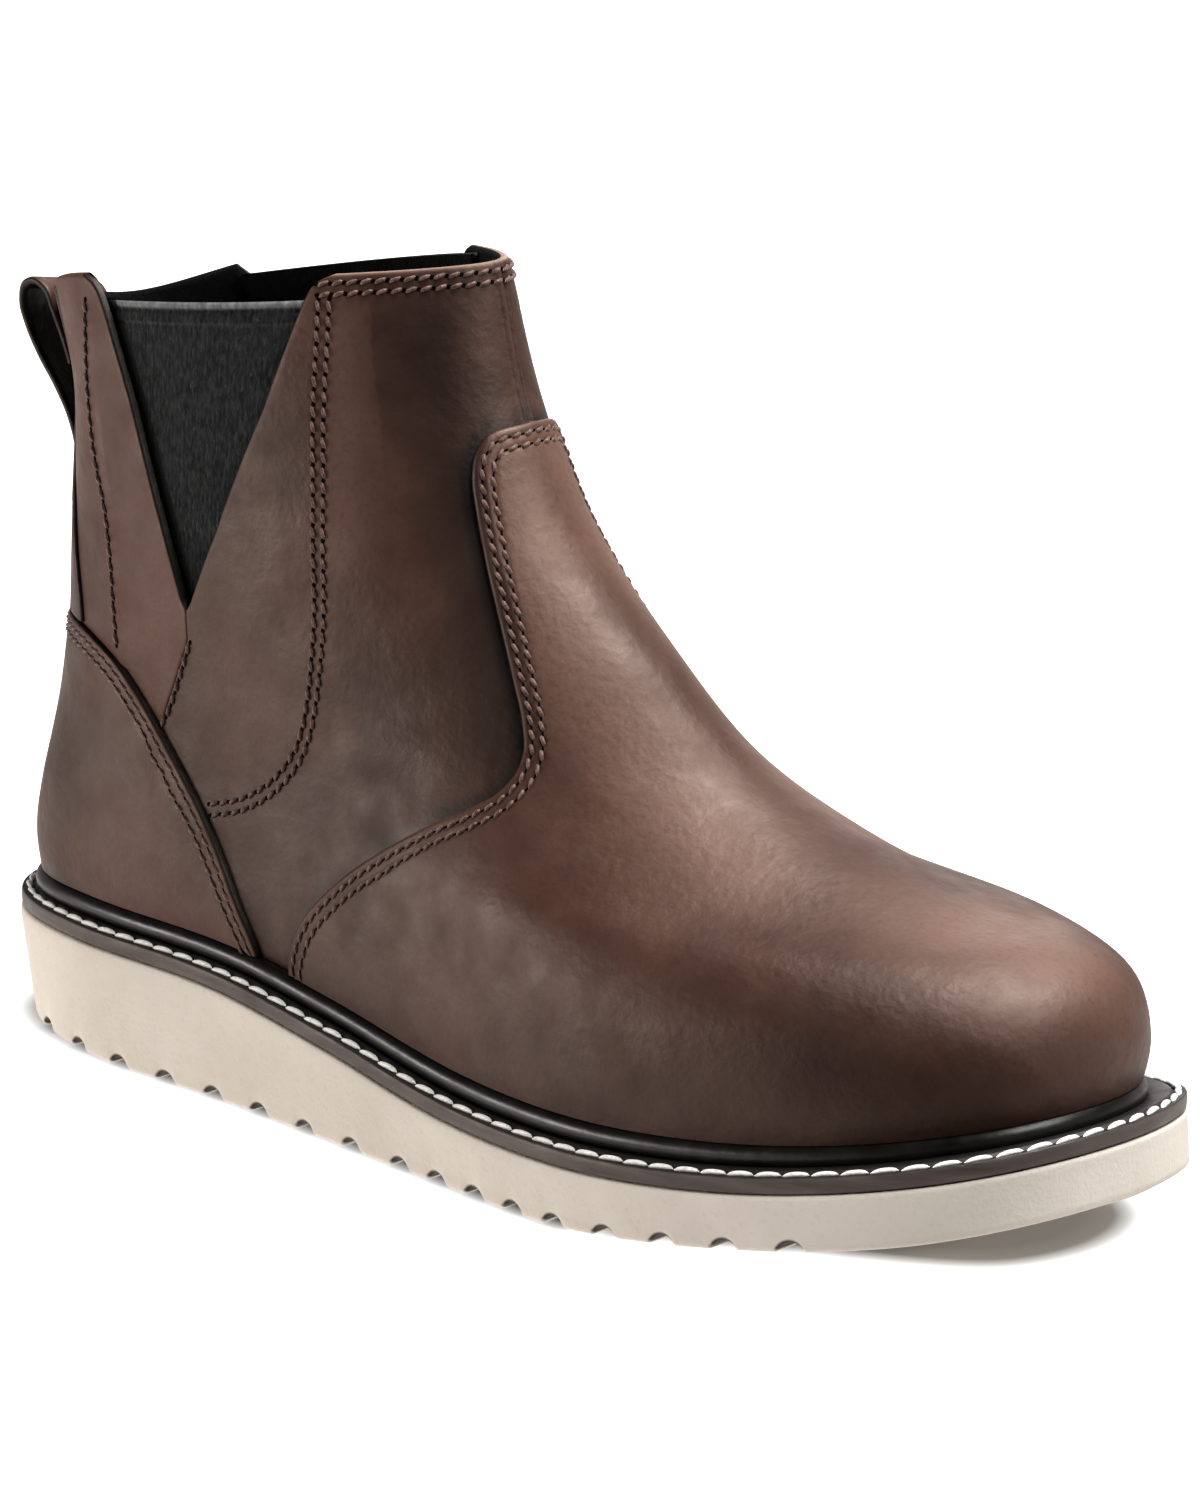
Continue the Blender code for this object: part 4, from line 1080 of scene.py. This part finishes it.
# Insole: a cloth-covered board inside, lying on the welt and closing the foot of the upper.
# Its edge is skived round, and its cover is the same black cloth as the lining.
insole_columns, insole_inset = 360, 2.8
insole_around, insole_height = np.arange(insole_columns) / insole_columns, np.zeros(insole_columns)
board = last_points(insole_around, insole_height)
board = board - insole_inset * last_slopes(insole_around, insole_height)[2]
insole_rows = []
for inward, rise in ((0.0, 0.0), (0.0, 2.0), (0.2, 2.6), (0.7, 2.95), (1.6, 3.0)):
    line = drawn_in(board[:, :2], inward)
    insole_rows.append(np.column_stack([line, welt_top(line[:, 0]) + fit_gap + rise]))
insole_points = np.stack(insole_rows, axis=1)
rows = len(insole_rows)
insole_faces = grid_faces(insole_columns, rows, closed=True) + closing_faces(insole_columns, rows, 0)
insole_faces += turned_over(closing_faces(insole_columns, rows, rows - 1))
insole = make_piece("insole_board", insole_points.reshape(-1, 3), insole_faces, lining_finish)
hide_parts("insole")


# Studio: a plain white floor with soft lights above, in front to the right, low on the left and behind.
# The floor is lit from within, and close under the sole its glow is dimmed as a painted shadow of the boot.
# The camera stands where the photograph was taken from.
floor_columns, floor_radius = 240, 6000.0
floor_rings, floor_glow = [], []
shadow_edge = sole_outline(heel_x, toe_x, 0.0, floor_columns)
shadow_edge = drawn_in(shadow_edge, np.interp(shadow_edge[:, :1], (200.0, 250.0, 306.0), (2.0, 14.0, 17.0)))
shadow_edge[:, 1] += np.interp(shadow_edge[:, 0], (200.0, 260.0), (0.0, 8.0))
# Painted contact shadow: the floor's glow by distance out from the shadow's edge
floor_steps = ((-10.0, 0.0), (-3.0, 0.05), (0.0, 0.35), (3.0, 0.75), (6.0, 1.0), (30.0, 1.0), (140.0, 1.0))
for outward, glow in floor_steps:
    floor_rings.append(np.column_stack([drawn_in(shadow_edge, -outward), np.zeros(floor_columns)]))
    floor_glow.append(np.full(floor_columns, glow))
turn = np.arange(floor_columns) / floor_columns * 2 * np.pi
floor_rim = floor_radius * np.stack([np.cos(turn), -np.sin(turn), np.zeros(floor_columns)], axis=1)
floor_points = np.stack(floor_rings + [floor_rim], axis=1)
floor_glow = np.stack(floor_glow + [np.ones(floor_columns)], axis=1)
rows = floor_points.shape[1]
floor_faces = grid_faces(floor_columns, rows, closed=True) + closing_faces(floor_columns, rows, 0)
floor_finish, tree, _place = new_finish("pale_floor", Roughness=0.9, Specular_IOR_Level=0.1,
                                        Base_Color=(0.35, 0.35, 0.35, 1), Emission_Color=(1.0, 1.0, 1.0, 1))
# Glow of the floor, dimmed under the boot as a painted shadow
wire(tree, Emission_Strength=mark_of(tree, "glow"))
floor = make_mesh("studio_floor", floor_points.reshape(-1, 3), floor_faces, floor_finish,
                  glow=floor_glow.ravel())
floor.visible_diffuse = floor.visible_glossy = False

world = bpy.data.worlds.new("studio")
world.use_nodes = True
tree = world.node_tree
direction = node(tree, "TexCoord").outputs["Generated"]
rising = node(tree, "SeparateXYZ", [(0, direction)]).outputs[2]
to_viewer = (0.71, -0.70, 0.0)
ahead = node(tree, "VectorMath", [(0, direction), (1, to_viewer)], operation="DOT_PRODUCT").outputs["Value"]
glow = ranged(tree, rising, -0.25, 0.0, 1.3, 0.5)
for along, start, end, dimmed in ((rising, 0.2, 0.42, 0.1), (ahead, 0.55, 0.95, 0.15)):
    dims = ranged(tree, along, start, end, 1.0, dimmed, interpolation_type="SMOOTHSTEP")
    glow = node(tree, "Math", [(0, glow), (1, dims)], operation="MULTIPLY").outputs[0]
tree.links.new(glow, tree.nodes["Background"].inputs["Strength"])
tree.nodes["Background"].inputs["Color"].default_value = (1.0, 0.97, 0.94, 1)
bpy.context.scene.world = world
bpy.context.scene.view_settings.view_transform = "Standard"
bpy.context.scene.view_settings.look = "High Contrast"
bpy.context.scene.view_settings.exposure = -0.2


def soft_light(name, place, aim, width, height, power, colour=(1.0, 1.0, 1.0)):
    """Soft box at a place, turned to what it lights."""
    lamp = bpy.data.lights.new(name, "AREA")
    lamp.shape, lamp.size, lamp.size_y = "RECTANGLE", width, height
    lamp.energy, lamp.color = power, colour
    made = bpy.data.objects.new(name, lamp)
    made.location = place
    made.rotation_euler = (Vector(aim) - Vector(place)).to_track_quat("-Z", "Y").to_euler()
    bpy.context.scene.collection.objects.link(made)


soft_light("top_light", (0.22, 0.26, 1.25), (0.03, 0.0, 0.06), 0.7, 0.7, 21.0)
soft_light("front_light", (1.05, -0.10, 1.10), (0.05, 0.0, 0.06), 0.6, 0.6, 12.0)
soft_light("left_light", (-0.95, -1.05, 0.19), (0.0, 0.0, 0.09), 0.8, 0.28, 9.0, (1.0, 0.95, 0.91))
soft_light("back_light", (-0.55, 0.95, 0.45), (0.1, 0.0, 0.06), 0.5, 0.5, 1.6)

lens = bpy.data.cameras.new("photo_camera")
lens.lens, lens.sensor_width, lens.sensor_fit = 178.39, 36.0, "AUTO"
lens.clip_start, lens.clip_end = 0.05, 60.0
camera = bpy.data.objects.new("photo_camera", lens)
stand, aim = np.array((1170.1, -1093.9, 486.4)), np.array((158.96, 8.31, 79.86))
stand, aim = ((spot - origin) * metres for spot in (stand, aim))
camera.location = stand
camera.rotation_euler = Vector(aim - stand).to_track_quat("-Z", "Y").to_euler()
bpy.context.scene.collection.objects.link(camera)
bpy.context.scene.camera = camera
